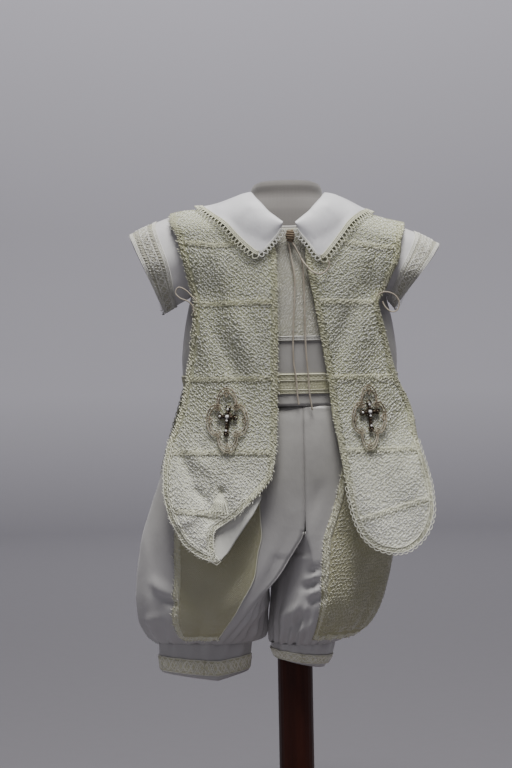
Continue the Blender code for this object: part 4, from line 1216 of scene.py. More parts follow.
@dataclass
class Cuff(Cloth):
    """Cuff that narrows or widens downwards; a is the angle from the front, b the share of its height."""

    half_sizes: Pair  # half width and half depth at the top
    centre_x: float  # middle of the top
    bottom_z: float  # height of the hem
    tilt: float  # how much higher the hem is on the right
    flare: float  # how much wider the hem is on every side
    shift: float  # how far the hem is moved to the right
    crease: Triple  # place of its front corner, how far it drops, stands out
    folds: float  # height of the soft folds under its seam

    sense = -1.0
    probe = (0.5, 0.01)

    def form(self, a: Array, b: Array) -> Array:
        """Points of the outside, in millimetres.

        Args:
            a: first number of each place.
            b: second number of each place.

        Returns:
            The points.
        """
        turn = np.radians(a)
        at, drop, out = self.crease
        away = np.sin(turn) - at
        corner = np.maximum(1 - np.abs(away) / np.where(away > 0, 1 - at, 1 + at), 0) * (np.cos(turn) > 0)
        fold = self.folds * np.sin(13 * turn + 2 * np.sin(2 * turn) + 2.2 * b) * (1 - b) ** 2
        lean = np.square(b)
        across = (self.half_sizes[0] + self.flare * lean + fold) * np.sin(turn) + self.shift * lean
        deep = (self.half_sizes[1] + self.flare * lean + fold) * np.cos(turn) + out * corner * b
        bottom = self.bottom_z + self.tilt * np.sin(turn) - drop * corner
        return points(self.centre_x + across, -deep, CUFF_TOP_Z + (bottom - CUFF_TOP_Z) * b)


ARM_Z = 683.0
ARM_HALF_HEIGHT = 50.5
ARM_HALF_DEPTH = 35.5
SLEEVE_TOP_LIFT = 2.2
SLEEVE_LAP_LIFT = 2.1
SLEEVE_BAND_START = 0.62


@dataclass
class Sleeve(Cloth):
    """Flared sleeve; a is the angle from the top towards the front, b the share of its length."""

    side: Side
    tip: Pair  # upper point of the hem
    under: Pair  # lower point of the hem
    half_depth: float
    crown: float  # how far the middle swells
    folds: float  # height of the soft folds at the hem

    probe = (0.6, 0.01)

    def __post_init__(self) -> None:
        """Set which way is out."""
        self.sense = float(self.side.value)

    def form(self, a: Array, b: Array) -> Array:
        """Points of the outside, in millimetres.

        Args:
            a: first number of each place.
            b: second number of each place.

        Returns:
            The points.
        """
        turn = np.radians(a)
        up, front = np.cos(turn), np.sin(turn)
        root_z = ARM_Z + ARM_HALF_HEIGHT * up
        root_y = -ARM_HALF_DEPTH * front
        root_x = bodice_width(root_y, root_z) + SLEEVE_LAP_LIFT
        root_z = root_z + SLEEVE_TOP_LIFT * np.maximum(up, 0) ** 4
        hem_x = (self.tip[0] + self.under[0]) / 2 + (self.tip[0] - self.under[0]) / 2 * up
        hem_z = (self.tip[1] + self.under[1]) / 2 + (self.tip[1] - self.under[1]) / 2 * up
        hem_y = -self.half_depth * front
        swell = 4 * b * (1 - b) * self.crown
        wave = self.folds * np.sin(9 * turn + 1.0 + np.sin(2 * turn)) * np.clip(b * 1.6, 0, 1) ** 1.5
        x = root_x + (hem_x - root_x) * b
        y = root_y + (hem_y - root_y) * b - front * (swell + wave)
        z = root_z + (hem_z - root_z) * b + np.maximum(up, 0) * swell + up * wave * 0.5
        return points(self.side.value * x, y, z)


COLLAR_FRONT = (  # neck x and z, outer x and z
    (6.5, 711.5, 8.5, 704), (11, 715, 13.5, 695.5), (16, 719, 22.5, 685), (20.5, 722.5, 31, 676.5),
    (24, 726, 37.5, 675), (28, 731, 47, 683.5), (32.5, 736.5, 60, 699), (36.5, 741.5, 74, 717))
COLLAR_TOP = (  # neck x and y, outer x and y
    (39.5, -30, 86, -44), (42, -21, 95, -28), (45, -9, 99, -10), (45.5, 8, 97, 14), (38, 25, 82, 42),
    (25, 36, 57, 58), (12, 41.5, 28, 66), (0.2, 42.5, 0.2, 68))
COLLAR_CENTRE_X = 1.0
COLLAR_ROLL = 4.5
COLLAR_TIP_Z = 675.0
COLLAR_DROP_FADE = 12.0
COLLAR_WIDE_X = 50.0
COLLAR_STEPS = 8  # places between two stations
COLLAR_ROWS = 25


class Collar(Cloth):
    """Half of the pointed collar; a runs from centre front to centre back, b from neck to edge."""

    probe = (0.03, 0.02)

    def __init__(self, side: Side, lay: float, tip_drop: float, reach: float) -> None:
        """Work out the collar's net of points.

        Args:
            side: left or right half.
            lay: height above the vest.
            tip_drop: how much lower its point hangs.
            reach: its width over the shoulder, as a share.
        """
        self.sense = -float(side.value)
        share = np.linspace(0, 1, COLLAR_ROWS)
        stand = lay + COLLAR_ROLL * (1 - share) ** 2 * share * 4
        lines = []
        for neck_x, neck_z, outer_x, outer_z in COLLAR_FRONT:
            outer_x = min(outer_x, COLLAR_WIDE_X) + max(outer_x - COLLAR_WIDE_X, 0) * reach
            outer_z -= tip_drop * np.clip(1 - (outer_z - COLLAR_TIP_Z) / COLLAR_DROP_FADE, 0, 1)
            x = side.value * (neck_x + (outer_x - neck_x) * share) + COLLAR_CENTRE_X
            z = neck_z + (outer_z - neck_z) * share
            lines.append(points(x, -vest_depth(x, z) - stand, z + stand * 0.3))
        for neck_x, neck_y, outer_x, outer_y in COLLAR_TOP:
            outer_x = min(outer_x, COLLAR_WIDE_X) + max(outer_x - COLLAR_WIDE_X, 0) * reach
            across = neck_x + (outer_x - neck_x) * share
            x = side.value * across + COLLAR_CENTRE_X
            y = neck_y + (outer_y - neck_y) * share
            low, high = np.full(COLLAR_ROWS, CHEST_TOP_Z - 50.0), ridge_z(x)
            for _ in range(30):
                middle = (low + high) / 2
                inside = vest_depth(x, middle) > np.abs(y)
                low, high = np.where(inside, middle, low), np.where(inside, high, middle)
            away = unit(points(side.value * across / 80, y / 60, 1.0 + 0 * y))
            lines.append(points(x, y, low) + away * stand[:, None])
        self.net = catmull(np.array(lines), COLLAR_STEPS)
        self.stations = len(lines) - 1

    def form(self, a: Array, b: Array) -> Array:
        """Points of the outside, in millimetres; past the edges it runs straight on.

        Args:
            a: first number of each place.
            b: second number of each place.

        Returns:
            The points.
        """
        a, b = np.broadcast_arrays(np.asarray(a, float), np.asarray(b, float))
        row, col = a * COLLAR_STEPS, b * (COLLAR_ROWS - 1)
        i = np.clip(np.floor(row).astype(int), 0, self.net.shape[0] - 2)
        j = np.clip(np.floor(col).astype(int), 0, COLLAR_ROWS - 2)
        u, v = (row - i)[..., None], (col - j)[..., None]
        near = self.net[i, j] * (1 - v) + self.net[i, j + 1] * v
        far = self.net[i + 1, j] * (1 - v) + self.net[i + 1, j + 1] * v
        return near * (1 - u) + far * u


# -------------------- lace patterns
Inside = Callable[[Array, Array], Array]
LINE_STEP = 2.0  # distance between the points of a border's line
NET_WALL = 0.5  # thickness of the nets under the stitches
NET_LIFT = 0.85  # height of a net's outside above the satin
ON_NET = 0.9  # height of the feet of the threads on such a net


def everywhere(a: Array, b: Array) -> Array:
    """True at every place."""
    return np.ones(np.broadcast(a, b).shape, bool)


class Stitch(NamedTuple):
    """One kind of slanted satin stitch, worked all over in rows."""

    lean: float  # degrees from upright, to the right where above 0
    pitch: float  # distance between stitches in a row
    rise: float  # distance between rows
    length: float
    width: float
    height: float
    lift: float  # height of its foot above the cloth
    shift: float = 0.0  # share of a row by which it is moved up
    unevenness: float = 1.0

    def work(self, cloth: Cloth, yarns: Yarns, span: tuple[float, ...], seed: int,
             inside: Inside = everywhere) -> None:
        """Lay the stitches, each a short thread that tapers at its ends.

        Args:
            cloth: surface whose two numbers are millimetres across and up.
            yarns: where the threads are gathered.
            span: lowest and highest number across, then up.
            seed: seed of the small unevenness.
            inside: tells which places (across, up) have a stitch.
        """
        chance = np.random.default_rng(seed)
        rows = np.arange(span[2], span[3], self.rise) + self.shift * self.rise
        across, up = np.meshgrid(np.arange(span[0], span[1], self.pitch), rows)
        across = across + (np.arange(len(rows)) % 2)[:, None] * self.pitch / 2
        across = (across + chance.normal(0, 0.3 * self.unevenness, across.shape)).ravel()
        up = (up + chance.normal(0, 0.4 * self.unevenness, up.shape)).ravel()
        slant = np.radians(self.lean + chance.normal(0, 8.0 * self.unevenness, up.shape))
        reach = self.length / 2 * (1 + chance.normal(0, 0.12, up.shape))
        along = np.array([-1.0, 0.0, 1.0])
        a = across[:, None] + np.sin(slant)[:, None] * reach[:, None] * along
        b = up[:, None] + np.cos(slant)[:, None] * reach[:, None] * along
        kept = inside(a, b).all(axis=1)
        yarns.lay(cloth, a[kept], b[kept], self.width, self.height, self.lift, 0.2)


BAND_STITCH = Stitch(42, 3.3, 2.7, 4.2, 1.25, 1.15, 0.5, 0, 2.1)


@dataclass(frozen=True)
class LaceBand:
    """Pattern of a narrow lace band: border cords, crossing waves and scallops on one edge."""

    width: float
    pitch: float = 5.0
    cord: float = 1.1
    wave: float = 0.8
    scallop: float = 0.0  # radius of the loops on the outer edge; 0 for none
    eyelets: bool = True
    drop: float = 0.9  # height of a loop for each millimetre of its radius

    def lay(self, ribbon: Ribbon | Shifted, yarns: Yarns, lift: float = 0.1, start: float = 0.0,
            end: float | None = None, way: float = 1.0) -> None:
        """Lay the band's threads along a ribbon.

        Args:
            ribbon: strip that the band follows.
            yarns: where the threads are gathered.
            lift: height of the threads' feet above the strip.
            start: distance along the strip at which it begins.
            end: distance at which it ends; the strip's end where it is left out.
            way: side of the scallops, 1 or -1 across the strip.
        """
        end = ribbon.length if end is None else end
        reach = max(end - start, 1.0)
        half = self.width / 2
        turns = max(int(round(reach / self.pitch)), 1)
        at = np.linspace(start, end, turns * 3 + 1)
        for edge in (-1, 1):
            across = np.full_like(at, edge * (half - self.cord / 2))
            yarns.lay(ribbon, at, across, self.cord, self.cord * 0.6, lift)
        if self.eyelets:
            fine = np.linspace(start, end, turns * 5 + 1)
            phase = (fine - start) / reach * turns * 2 * np.pi
            for lean in (-1, 1):
                swing = (half - self.cord * 1.4) * np.sin(phase / 2) * lean
                yarns.lay(ribbon, fine, swing, self.wave, self.wave * 0.55, lift)
        if self.scallop:
            loops = max(int(round(reach / (2.1 * self.scallop))), 1)
            centre = start + (np.arange(loops) + 0.5) / loops * reach
            turn = np.linspace(-0.1, np.pi + 0.1, 7)
            a = centre[:, None] + self.scallop * np.cos(turn)
            b = way * (half - 0.3 + self.scallop * self.drop * np.sin(turn))
            yarns.lay(ribbon, a, np.broadcast_to(b, a.shape), self.cord, self.cord * 0.55, lift, 0.6)


def strip(name: str, ribbon: Ribbon, width: float, lift: float, finish: Finish, slot: str, *nodes: str,
          wall: float = NET_WALL) -> Thing:
    """Make the net under a lace band, along the whole of a ribbon.

    Args:
        name: name of the piece.
        ribbon: strip that it follows.
        width: its width.
        lift: height of its outside above the ribbon.
        finish: what it is made of.
        slot: material slot that it belongs to.
        *nodes: solids that it stands for.
        wall: its thickness.

    Returns:
        The piece.
    """
    along = np.linspace(0, ribbon.length, max(int(ribbon.length / 3.0), 2) + 1)
    a, b = np.meshgrid(along, np.linspace(-width / 2, width / 2, 4), indexing="ij")
    return add(shell(name, ribbon, a, b, wall, lift).thing, finish, slot, *nodes)


# -------------------- studio
@dataclass
class Studio:
    """Camera, soft light and a round backdrop whose floor turns up into its wall, in metres."""

    camera_place: Triple = (-0.039, -2.2, 0.533)
    camera_roll: float = 0.0186  # the outfit hangs a degree off upright
    lens: float = 89.7
    radius: float = 6.0
    cove: float = 1.2  # radius of the bend between floor and wall
    top: float = 6.0
    sides: int = 96

    def build(self) -> None:
        """Set up everything round the outfit."""
        self.camera()
        self.backdrop()
        self.lights()

    def camera(self) -> None:
        """Place a level camera in front of the outfit."""
        data = bpy.data.cameras.new("front_camera")
        data.lens = self.lens
        data.sensor_width = 36.0
        camera = bpy.data.objects.new("front_camera", data)
        camera.location = self.camera_place
        camera.rotation_euler = (np.pi / 2, self.camera_roll, 0.0)
        bpy.context.scene.collection.objects.link(camera)
        bpy.context.scene.camera = camera

    def backdrop(self) -> None:
        """Make the pale floor that turns up through a cove into a round wall."""
        bend = np.linspace(0, np.pi / 2, 12)
        reach = np.concatenate([[2.0], self.radius - self.cove + self.cove * np.sin(bend), [self.radius]])
        height = np.concatenate([[0.0], self.cove - self.cove * np.cos(bend), [self.top]])[:, None]
        turn = corners(self.sides)
        rings = points(reach[:, None] * np.cos(turn), reach[:, None] * np.sin(turn), height)
        verts = np.concatenate([np.zeros((1, 3)), rings.reshape(-1, 3)])
        faces = [[0, 1 + k, 1 + (k + 1) % self.sides] for k in range(self.sides)]
        for a, b, c, d in tube_faces(len(reach), self.sides)[:-2]:
            faces.append([1 + a, 1 + d, 1 + c, 1 + b])
        wall = new_piece("studio_backdrop", verts / MM, faces, worn=False)
        BACKDROP.dress(wall)

    def lights(self) -> None:
        """Hang a strong light above, a weak one at the left and one for the wall, under a dim sky."""
        self.area("key_light", (0.12, -0.90, 3.6), 1.3, 165.0, (1.0, 0.985, 0.965))
        self.area("fill_light", (-1.8, -2.6, 1.3), 1.8, 4.0, (0.95, 0.97, 1.0))
        self.area("wall_light", (0.0, 3.0, 4.4), 3.0, 172.0, (1.0, 1.0, 1.0), aim=(0.0, 6.0, 2.4))
        world = bpy.data.worlds.new("studio_air")
        world.use_nodes = True
        air = world.node_tree.nodes["Background"]
        air.inputs["Color"].default_value = (0.82, 0.83, 0.88, 1.0)
        air.inputs["Strength"].default_value = 0.10
        bpy.context.scene.world = world

    def area(self, name: str, place: Triple, size: float, power: float,
             colour: Triple, aim: Triple = (0.0, 0.0, 0.5)) -> None:
        """Hang a square soft light.

        Args:
            name: name of the light.
            place: where it hangs.
            size: length of its side.
            power: its power in watts.
            colour: its colour.
            aim: place that it looks at.
        """
        data = bpy.data.lights.new(name, "AREA")
        data.size = size
        data.energy = power
        data.color = colour
        lamp = bpy.data.objects.new(name, data)
        lamp.location = place
        lamp.rotation_euler = (Vector(aim) - Vector(place)).to_track_quat("-Z", "Y").to_euler()
        bpy.context.scene.collection.objects.link(lamp)


# -------------------- ties
@dataclass
class Ties:
    """Beige cords that hang from the collar's knot and small loops under the arms."""

    strands: int = 3
    twist: float = 0.9  # millimetres of cord for one radian of twist
    step: float = 0.7  # distance between the rings of a cord
    sides: int = 12
    knot_place: Triple = (2.0, -72.8, 697.0)
    knot_half_sizes: Triple = (4.1, 3.6, 6.2)
    knot_wraps: int = 5
    knot_cord: float = 1.35  # radius of the cord that is wound

    routes = {  # diameter of each cord and points of its middle line
        "tie_left": (2.0, (
            (0, -74.5, 689.2), (1.5, -73, 680), (3.5, -73, 668), (6, -74.3, 650), (5.5, -75.5, 627),
            (4, -76.4, 602), (3, -77, 576), (3.3, -77.1, 555), (5.5, -77.1, 539), (6.5, -77, 523),
            (8, -76.6, 509))),
        "tie_right": (2.0, (
            (4.1, -74, 689.6), (8.5, -73.4, 682), (14.5, -73, 668), (16, -74.2, 648),
            (16.5, -75.6, 618), (16.5, -76.4, 597), (17, -77, 574), (18, -77.1, 556),
            (19.3, -77.1, 539), (20.3, -77, 521), (23, -76.4, 503))),
        "tie_loop": (2.0, (
            (14.4, -75.1, 670.6), (18.5, -78.2, 664), (25, -80.2, 657), (33, -80.6, 654),
            (40, -79.6, 657), (44.5, -78.4, 664), (44, -78.2, 670))),
        "side_tie_left": (1.6, (
            (-104, -52.9, 628), (-109, -52.9, 633), (-116, -52.5, 640), (-124, -52, 643),
            (-127.5, -51.5, 637), (-122.5, -52, 631), (-114, -52.3, 627.5), (-108.5, -51.8, 622),
            (-107.5, -51.6, 614))),
        "side_tie_right": (1.6, (
            (98.5, -56.8, 632), (103, -56.6, 636.5), (110, -56, 638), (118, -55.5, 634),
            (123, -55, 625), (121, -55, 614), (114, -55.5, 612), (107.5, -55.3, 618),
            (104.5, -54.8, 625))),
    }

    def build(self) -> None:
        """Make every cord, then the knot."""
        for node, (diameter, route) in self.routes.items():
            self.cord(node, diameter, np.array(route, float))
        self.knot()

    def cord(self, node: str, diameter: float, route: Array) -> None:
        """Make a twisted cord along a route, as a tube whose section turns.

        Args:
            node: the solid that it stands for.
            diameter: thickness in millimetres.
            route: points of its middle line.
        """
        path = settled(resample(catmull(route, 12), self.step))
        reach = np.arange(len(path))[:, None] * self.step
        lay = np.abs(np.cos(self.strands / 2 * (corners(self.sides) - reach / self.twist)))
        radius = (diameter / 2 * (0.78 + 0.24 * lay))[..., None]
        thing = tube("twisted_" + node, path, radius, self.sides, (0.0, 1.0, 0.0), worn=False)
        add(thing, TIE_CORD, "braid", node)
        length = float(np.sum(np.linalg.norm(np.diff(path, axis=0), axis=1))) * MM
        log.info("cord %s is %.1f mm long", node, length / MM)

    def knot(self) -> None:
        """Make the knot of wound cord between the collar's points."""
        wide, deep, high = self.knot_half_sizes
        t = np.linspace(0, 1, self.knot_wraps * 16 + 1)
        swing = 2 * np.pi * self.knot_wraps * t
        height = high * (1 - 2 * t)
        girth = np.sqrt(np.clip(1 - (height / 7.6) ** 2, 0.05, 1))
        path = points(wide * girth * np.cos(swing), deep * girth * np.sin(swing), height) + self.knot_place
        knot = tube("wound_tie_knot", path, self.knot_cord, 10, (0.0, 0.0, 1.0))
        add(knot, KNOT_CORD, "braid", "tie_knot")


# -------------------- dress form
@dataclass
class DressForm:
    """Limbless torso with a cloth cover, on a dark wooden post and foot."""

    sides: int = 96
    row_step: float = 3.0
    sharp: float = 50.0  # edges that bend more than this stay sharp, in degrees

    def build(self) -> None:
        """Cover the torso and finish the wood."""
        low, high = FORM.span("z")
        heights = np.concatenate([np.arange(low, high, self.row_step), [row[0] for row in FORM.rows]])
        heights = np.unique(heights)
        turn = corners(self.sides)
        width = FORM.read("half_width", heights)[:, None]
        depth = FORM.read("half_depth", heights)[:, None]
        rings = points(width * np.sin(turn), -depth * np.cos(turn), heights[:, None])
        torso = new_piece("torso_cover", rings.reshape(-1, 3), tube_faces(len(heights), self.sides))
        torso.data.set_sharp_from_angle(angle=np.radians(self.sharp))
        add(torso, SHADED_FORM_COVER, "form_cloth", "form_torso")
        for node in ("form_post", "form_foot"):
            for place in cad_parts[node].material_slots:
                place.material = WOOD.material()


FINE_ROUND = np.linspace(0, 360, 181)  # angles of a line all round a sleeve or cuff


def ring(name: str, cloth: Cloth, shares: Array, wall: float, lift: float = 0.0) -> Panel:
    """Ring of cloth, with its rows at shares of the surface's length."""
    return shell(name, cloth, *np.meshgrid(np.arange(0, 360, 3.0), shares), wall, lift, wrap=True)


# -------------------- romper
@dataclass
class RomperBody:
    """Satin bodice in two halves with its lace yoke and lace waistband."""

    wall: float = 1.0
    row_step: float = 4.0
    band_lift: float = 0.75
    band_patterns: tuple[tuple[LaceBand, float], ...] = (  # each with its place above the middle
        (LaceBand(8, 5, 1.4, 1), 7), (LaceBand(5, 4, 1.3, 0.9), -8.6))
    band_stitch: Stitch = Stitch(30, 3.4, 4, 4.6, 0.9, 0.45, 0.75)
    yoke_half_angle: float = 25.0
    yoke_bottom_z: float = 580.0
    yoke_top_z: float = 706.0
    yoke_border: LaceBand = LaceBand(5, 4.4, 1.2, 0.9)
    yoke_stitches: tuple[Stitch, ...] = (Stitch(38, 3.2, 4, 4.8, 0.9, 0.55, 1, 0, 1.4),
                                         Stitch(-46, 3.2, 4, 3, 0.7, 0.4, 1, 0.5, 1.4))
    front_creases: Creases = creases(
        (8, 556, 78, 30, 4, 0.8), (22, 560, 95, 34, 5, -0.9), (0, 514, 85, 14, 3, 0.5),
        (-30, 560, 80, 40, 6, -1), (44, 566, 100, 46, 7, 1), (0, 507, 0, 300, 7, 1.3))
    back_creases: Creases = creases(
        (-40, 560, 82, 46, 7, 1.3), (-8, 548, 94, 38, 6, -1.1), (30, 566, 86, 50, 7, 1.2),
        (62, 552, 100, 40, 6, -1), (-70, 560, 76, 40, 6, -1), (0, 507, 0, 300, 7, 1.3))

    def build(self) -> None:
        """Make both halves, the yoke's lace and the waistband's lace."""
        front = Bodice(Facing.FRONT, self.front_creases)
        for cloth in (front, Bodice(Facing.BACK, self.back_creases)):
            panel = self.half(cloth)
            add(panel.thing, SATIN, "satin", "bodice_" + cloth.facing.word)
            lace = self.waistband(cloth)
        self.yoke(front)

    def half(self, cloth: Bodice) -> Panel:
        """Make one half of the bodice.

        Args:
            cloth: surface of that half.

        Returns:
            The half.
        """
        heights = np.concatenate([np.arange(WAIST_SEAM_Z + SEAM, CHEST_TOP_Z, self.row_step),
                                  np.linspace(CHEST_TOP_Z, BODICE_TOP_Z, 22)])
        reach = BODICE.read("edge", heights)
        share = np.linspace(-1, 1, 61)
        return shell("satin_bodice_" + cloth.facing.word, cloth, reach[:, None] * share,
                     heights[:, None] + 0 * share, self.wall)

    def waistband(self, cloth: Bodice) -> list[str]:
        """Make the lace band above the waist seam.

        Args:
            cloth: half of the bodice that carries it.

        Returns:
            Names of its pieces.
        """
        word = cloth.facing.word
        ribbon = Ribbon.on(cloth, np.linspace(-89.5, 89.5, 121), (BAND_TOP_Z + BAND_BOTTOM_Z) / 2)
        ground = strip("waistband_ground_" + word, ribbon, BAND_TOP_Z - BAND_BOTTOM_Z, self.band_lift,
                       BAND_GROUND, "trim_lace", "waistband_" + word)
        yarns = Yarns()
        for pattern, offset in self.band_patterns:
            pattern.lay(Shifted(ribbon, offset), yarns, self.band_lift)
        self.band_stitch.work(ribbon, yarns, (2, ribbon.length - 2, -4.5, 3.6), 5)
        lace = add(yarns.make("waistband_lacework_" + word), BAND_THREAD, "trim_lace")
        return [ground.name, lace.name]

    def yoke(self, cloth: Bodice) -> None:
        """Make the lace on the upper front, with a border down each side and along its foot.

        Args:
            cloth: front half of the bodice.
        """
        limit, foot = self.yoke_half_angle, self.yoke_bottom_z
        levels = np.concatenate([np.arange(foot, CHEST_TOP_Z, self.row_step),
                                 np.linspace(CHEST_TOP_Z, 738, 14)])
        a, b = np.meshgrid(np.linspace(-limit, limit, 25), levels)
        ground = shell("yoke_ground", cloth, a, b, 0.6, 0.95)
        add(ground.thing, LACE_GROUND, "romper_lace", "yoke_lace")
        yarns = Yarns()
        flat = FrontPlane(cloth)
        half = 107.0 * np.sin(np.radians(limit)) + 4

        def inside(x: Array, z: Array) -> Array:
            """Whether places lie between the borders."""
            return (np.abs(x) < half - 4) & (z > foot + 4) & (z < self.yoke_top_z)

        for number, stitch in enumerate(self.yoke_stitches):
            stitch.work(flat, yarns, (-half, half, foot + 4, self.yoke_top_z + 2), 11 + number, inside)
        side, low, high = half - 2, foot + 3, self.yoke_top_z - 2
        path = resample(np.array([[-side, high], [-side, low], [side, low], [side, high]]), LINE_STEP)
        self.yoke_border.lay(Ribbon.on(flat, *path.T), yarns, 1.1)
        lace = add(yarns.make("yoke_lacework"), LACE_THREAD, "romper_lace")


@dataclass
class RomperSleeve:
    """Flared satin sleeve with a wide lace band on its hem."""

    side: Side
    cloth: Sleeve
    wall: float = 1.0
    borders: tuple[Pair, ...] = ((0.965, 4.0), (0.645, 4.5))  # share of length, width
    middle: float = 0.80  # share of the length at which the wave runs
    wave: LaceBand = LaceBand(10, 9, 0.9, 1.1)
    stitch: Stitch = Stitch(35, 3.4, 4, 4.4, 1, 0.9, 0.9)

    def build(self) -> None:
        """Make the satin sleeve and the lace on its hem."""
        word = self.side.word
        panel = ring("satin_sleeve_" + word, self.cloth, np.linspace(0, 1, 26), self.wall)
        add(panel.thing, LIT_SLEEVE_SATIN, "satin", "sleeve_" + word)
        shares = np.linspace(SLEEVE_BAND_START, 0.985, 10)
        ground = ring("sleeve_ground_" + word, self.cloth, shares, NET_WALL, NET_LIFT)
        add(ground.thing, LACE_GROUND, "romper_lace", "sleeve_lace_" + word)
        lace = self.lacework()

    def lacework(self) -> Thing:
        """Make the stitches and the wave between two borders round the hem.

        Returns:
            The piece.
        """
        yarns = Yarns()
        for share, width in self.borders:
            LaceBand(width, 4.6, 1.1, 0.9).lay(Ribbon.on(self.cloth, FINE_ROUND, share), yarns, ON_NET)
        ribbon = Ribbon.on(self.cloth, FINE_ROUND, self.middle)
        self.wave.lay(ribbon, yarns, ON_NET)
        self.stitch.work(ribbon, yarns, (2, ribbon.length - 2, -9, 9), 21)
        return add(yarns.make("sleeve_lacework_" + self.side.word), LACE_THREAD, "romper_lace")


@dataclass
class RomperLeg:
    """Full satin leg with gathers at the cuff and a lace panel, and its cuff."""

    side: Side
    leg: Leg
    cuff: Cuff
    panel_width: float
    stitches: tuple[Stitch, ...]
    wall: float = 1.0
    column_step: float = 2.0
    panel_span: Pair = (244.0, 492.0)
    margin: float = 8.0  # width of the panel's crochet border
    border_span: Pair = (247.0, 490.0)
    border_stitch: Stitch = Stitch(48, 3.3, 2.9, 4.2, 1.25, 1.3, 0.95, 0, 2)

    def build(self) -> None:
        """Make the leg, its lace panel and its cuff."""
        word = self.side.word
        angles = np.arange(0, 360, self.column_step)
        levels = np.concatenate([np.linspace(WAIST_SEAM_Z, CROTCH_Z, 38),
                                 np.linspace(CROTCH_Z, CUFF_TOP_Z + SEAM, 42)[1:]])
        a, b = np.meshgrid(angles, levels)
        outside = (angles < 180)[None, :] & np.ones((len(levels) - 1, 1), bool)
        below = (levels[:-1] <= CROTCH_Z)[:, None] & np.ones((1, len(angles)), bool)
        leg = shell("satin_leg_" + word, self.leg, a, b, self.wall, wrap=True, mask=outside | below)
        add(leg.thing, SATIN, "satin", "leg_front_" + word, "leg_back_" + word)
        panel = LegPanel(self.leg, self.panel_width)
        ground, lace = self.lace_panel(panel)
        self.border(panel)
        self.cuff_pieces()

    def lace_panel(self, panel: LegPanel) -> tuple[Panel, Thing]:
        """Make the lace down the front and side of the leg.

        Args:
            panel: surface of the lace.

        Returns:
            Its net and its stitches.
        """
        word = self.side.word
        low, high = self.panel_span
        a, b = np.meshgrid(np.linspace(0, self.panel_width, 41), np.linspace(high, low, 64))
        ground = shell("leg_ground_" + word, panel, a, b, NET_WALL, NET_LIFT)
        add(ground.thing, LEG_GROUND, "romper_lace", "leg_lace_" + word)
        yarns = Yarns()

        def inside(x: Array, z: Array) -> Array:
            """Whether places lie between the borders.

            Args:
                x: distances from the seam.
                z: heights.

            Returns:
                True where they do.
            """
            from_edge = self.panel_width - x if self.side is Side.LEFT else x
            across = (from_edge > self.margin) & (from_edge < self.panel_width - 1.5)
            return across & (z < high - 2) & (z > low + 8)

        for number, stitch in enumerate(self.stitches):
            stitch.work(panel, yarns, (0.0, self.panel_width, low + 6, high), 31 + number, inside)
        return ground, add(yarns.make("leg_lacework_" + word), LEG_THREAD, "romper_lace")

    def border(self, panel: LegPanel) -> None:
        """Make the crochet border down the panel's front edge and along its foot.

        Args:
            panel: surface of the lace.
        """
        word = self.side.word
        low, high = self.border_span
        near, far = self.margin / 2 + 0.3, self.panel_width - 0.6
        if self.side is Side.LEFT:
            near, far = self.panel_width - near, 0.6
        path = resample(np.array([[near, high], [near, low], [far, low]]), LINE_STEP)
        ribbon = Ribbon.on(panel, *path.T)
        strip("leg_border_ground_" + word, ribbon, self.margin, 1.0, BAND_GROUND, "romper_lace", wall=0.3)
        yarns = Yarns()
        self.border_stitch.work(ribbon, yarns, (0, ribbon.length, -4.0, 4.2), 61)
        yarns.lay(panel, np.full(90, far), np.linspace(high, low, 90), 1.2, 0.7, NET_LIFT, 1.0)
        add(yarns.make("leg_border_" + word), CROCHET, "romper_lace")

    def cuff_pieces(self) -> None:
        """Make the satin cuff and its lace band."""
        word = self.side.word
        cuff = ring("satin_cuff_" + word, self.cuff, np.linspace(-0.06, 1, 16), self.wall)
        add(cuff.thing, SATIN, "satin", "cuff_" + word)
        ribbon = Ribbon.on(self.cuff, FINE_ROUND, 0.66)
        reach = (CUFF_TOP_Z - self.cuff.bottom_z) * 0.54
        ground = strip("cuff_ground_" + word, ribbon, reach, NET_LIFT, BAND_GROUND, "trim_lace",
                       "cuff_lace_" + word)
        yarns = Yarns()
        LaceBand(reach, 8, 1.3, 1.5).lay(ribbon, yarns, ON_NET)
        LaceBand(reach * 0.62, 5, 0.9, 1.2).lay(ribbon, yarns, ON_NET)
        lace = add(yarns.make("cuff_lacework_" + word), BAND_THREAD, "trim_lace")


# -------------------- vest
def panel_levels(edges: Table, first: float, last: float, step: float) -> Array:
    """Levels of a vest panel's rows, closer together at its top and at its hem.

    Args:
        edges: the panel's edges.
        first: how far below the top the even rows begin.
        last: how far above the hem they end.
        step: distance between even rows.

    Returns:
        The levels, from the top down.
    """
    low, high = edges.span("z")
    return np.concatenate([high - np.linspace(0, 1, 12) ** 2 * 40,
                           np.arange(high - first, low + last, -step),
                           low + np.linspace(1, 0, 8) ** 2 * 13])


def panel_outline(edges: Table, facing: Facing, inset: float) -> Array:
    """Line down a vest panel's outer edge, round its hem and up its other edge.

    Args:
        edges: the panel's edges.
        facing: front or back; the back's other edge mirrors its outer one.
        inset: how far inside the edge the line runs.

    Returns:
        Points (across, up) of the line.
    """
    low, high = edges.span("z")
    down = np.concatenate([np.arange(high - 8, low + 12, -3.0), low + np.linspace(1, 0, 9) ** 2 * 12])
    outer = edges.read("outer", down)
    other = -outer if facing is Facing.BACK else edges.read("inner", down)
    line = np.concatenate([np.stack([outer, down], 1), np.stack([other, down], 1)[::-1]])
    line = resample(line, LINE_STEP)
    along = unit(np.gradient(line, axis=0))
    return line + np.stack([along[:, 1], -along[:, 0]], axis=1) * inset


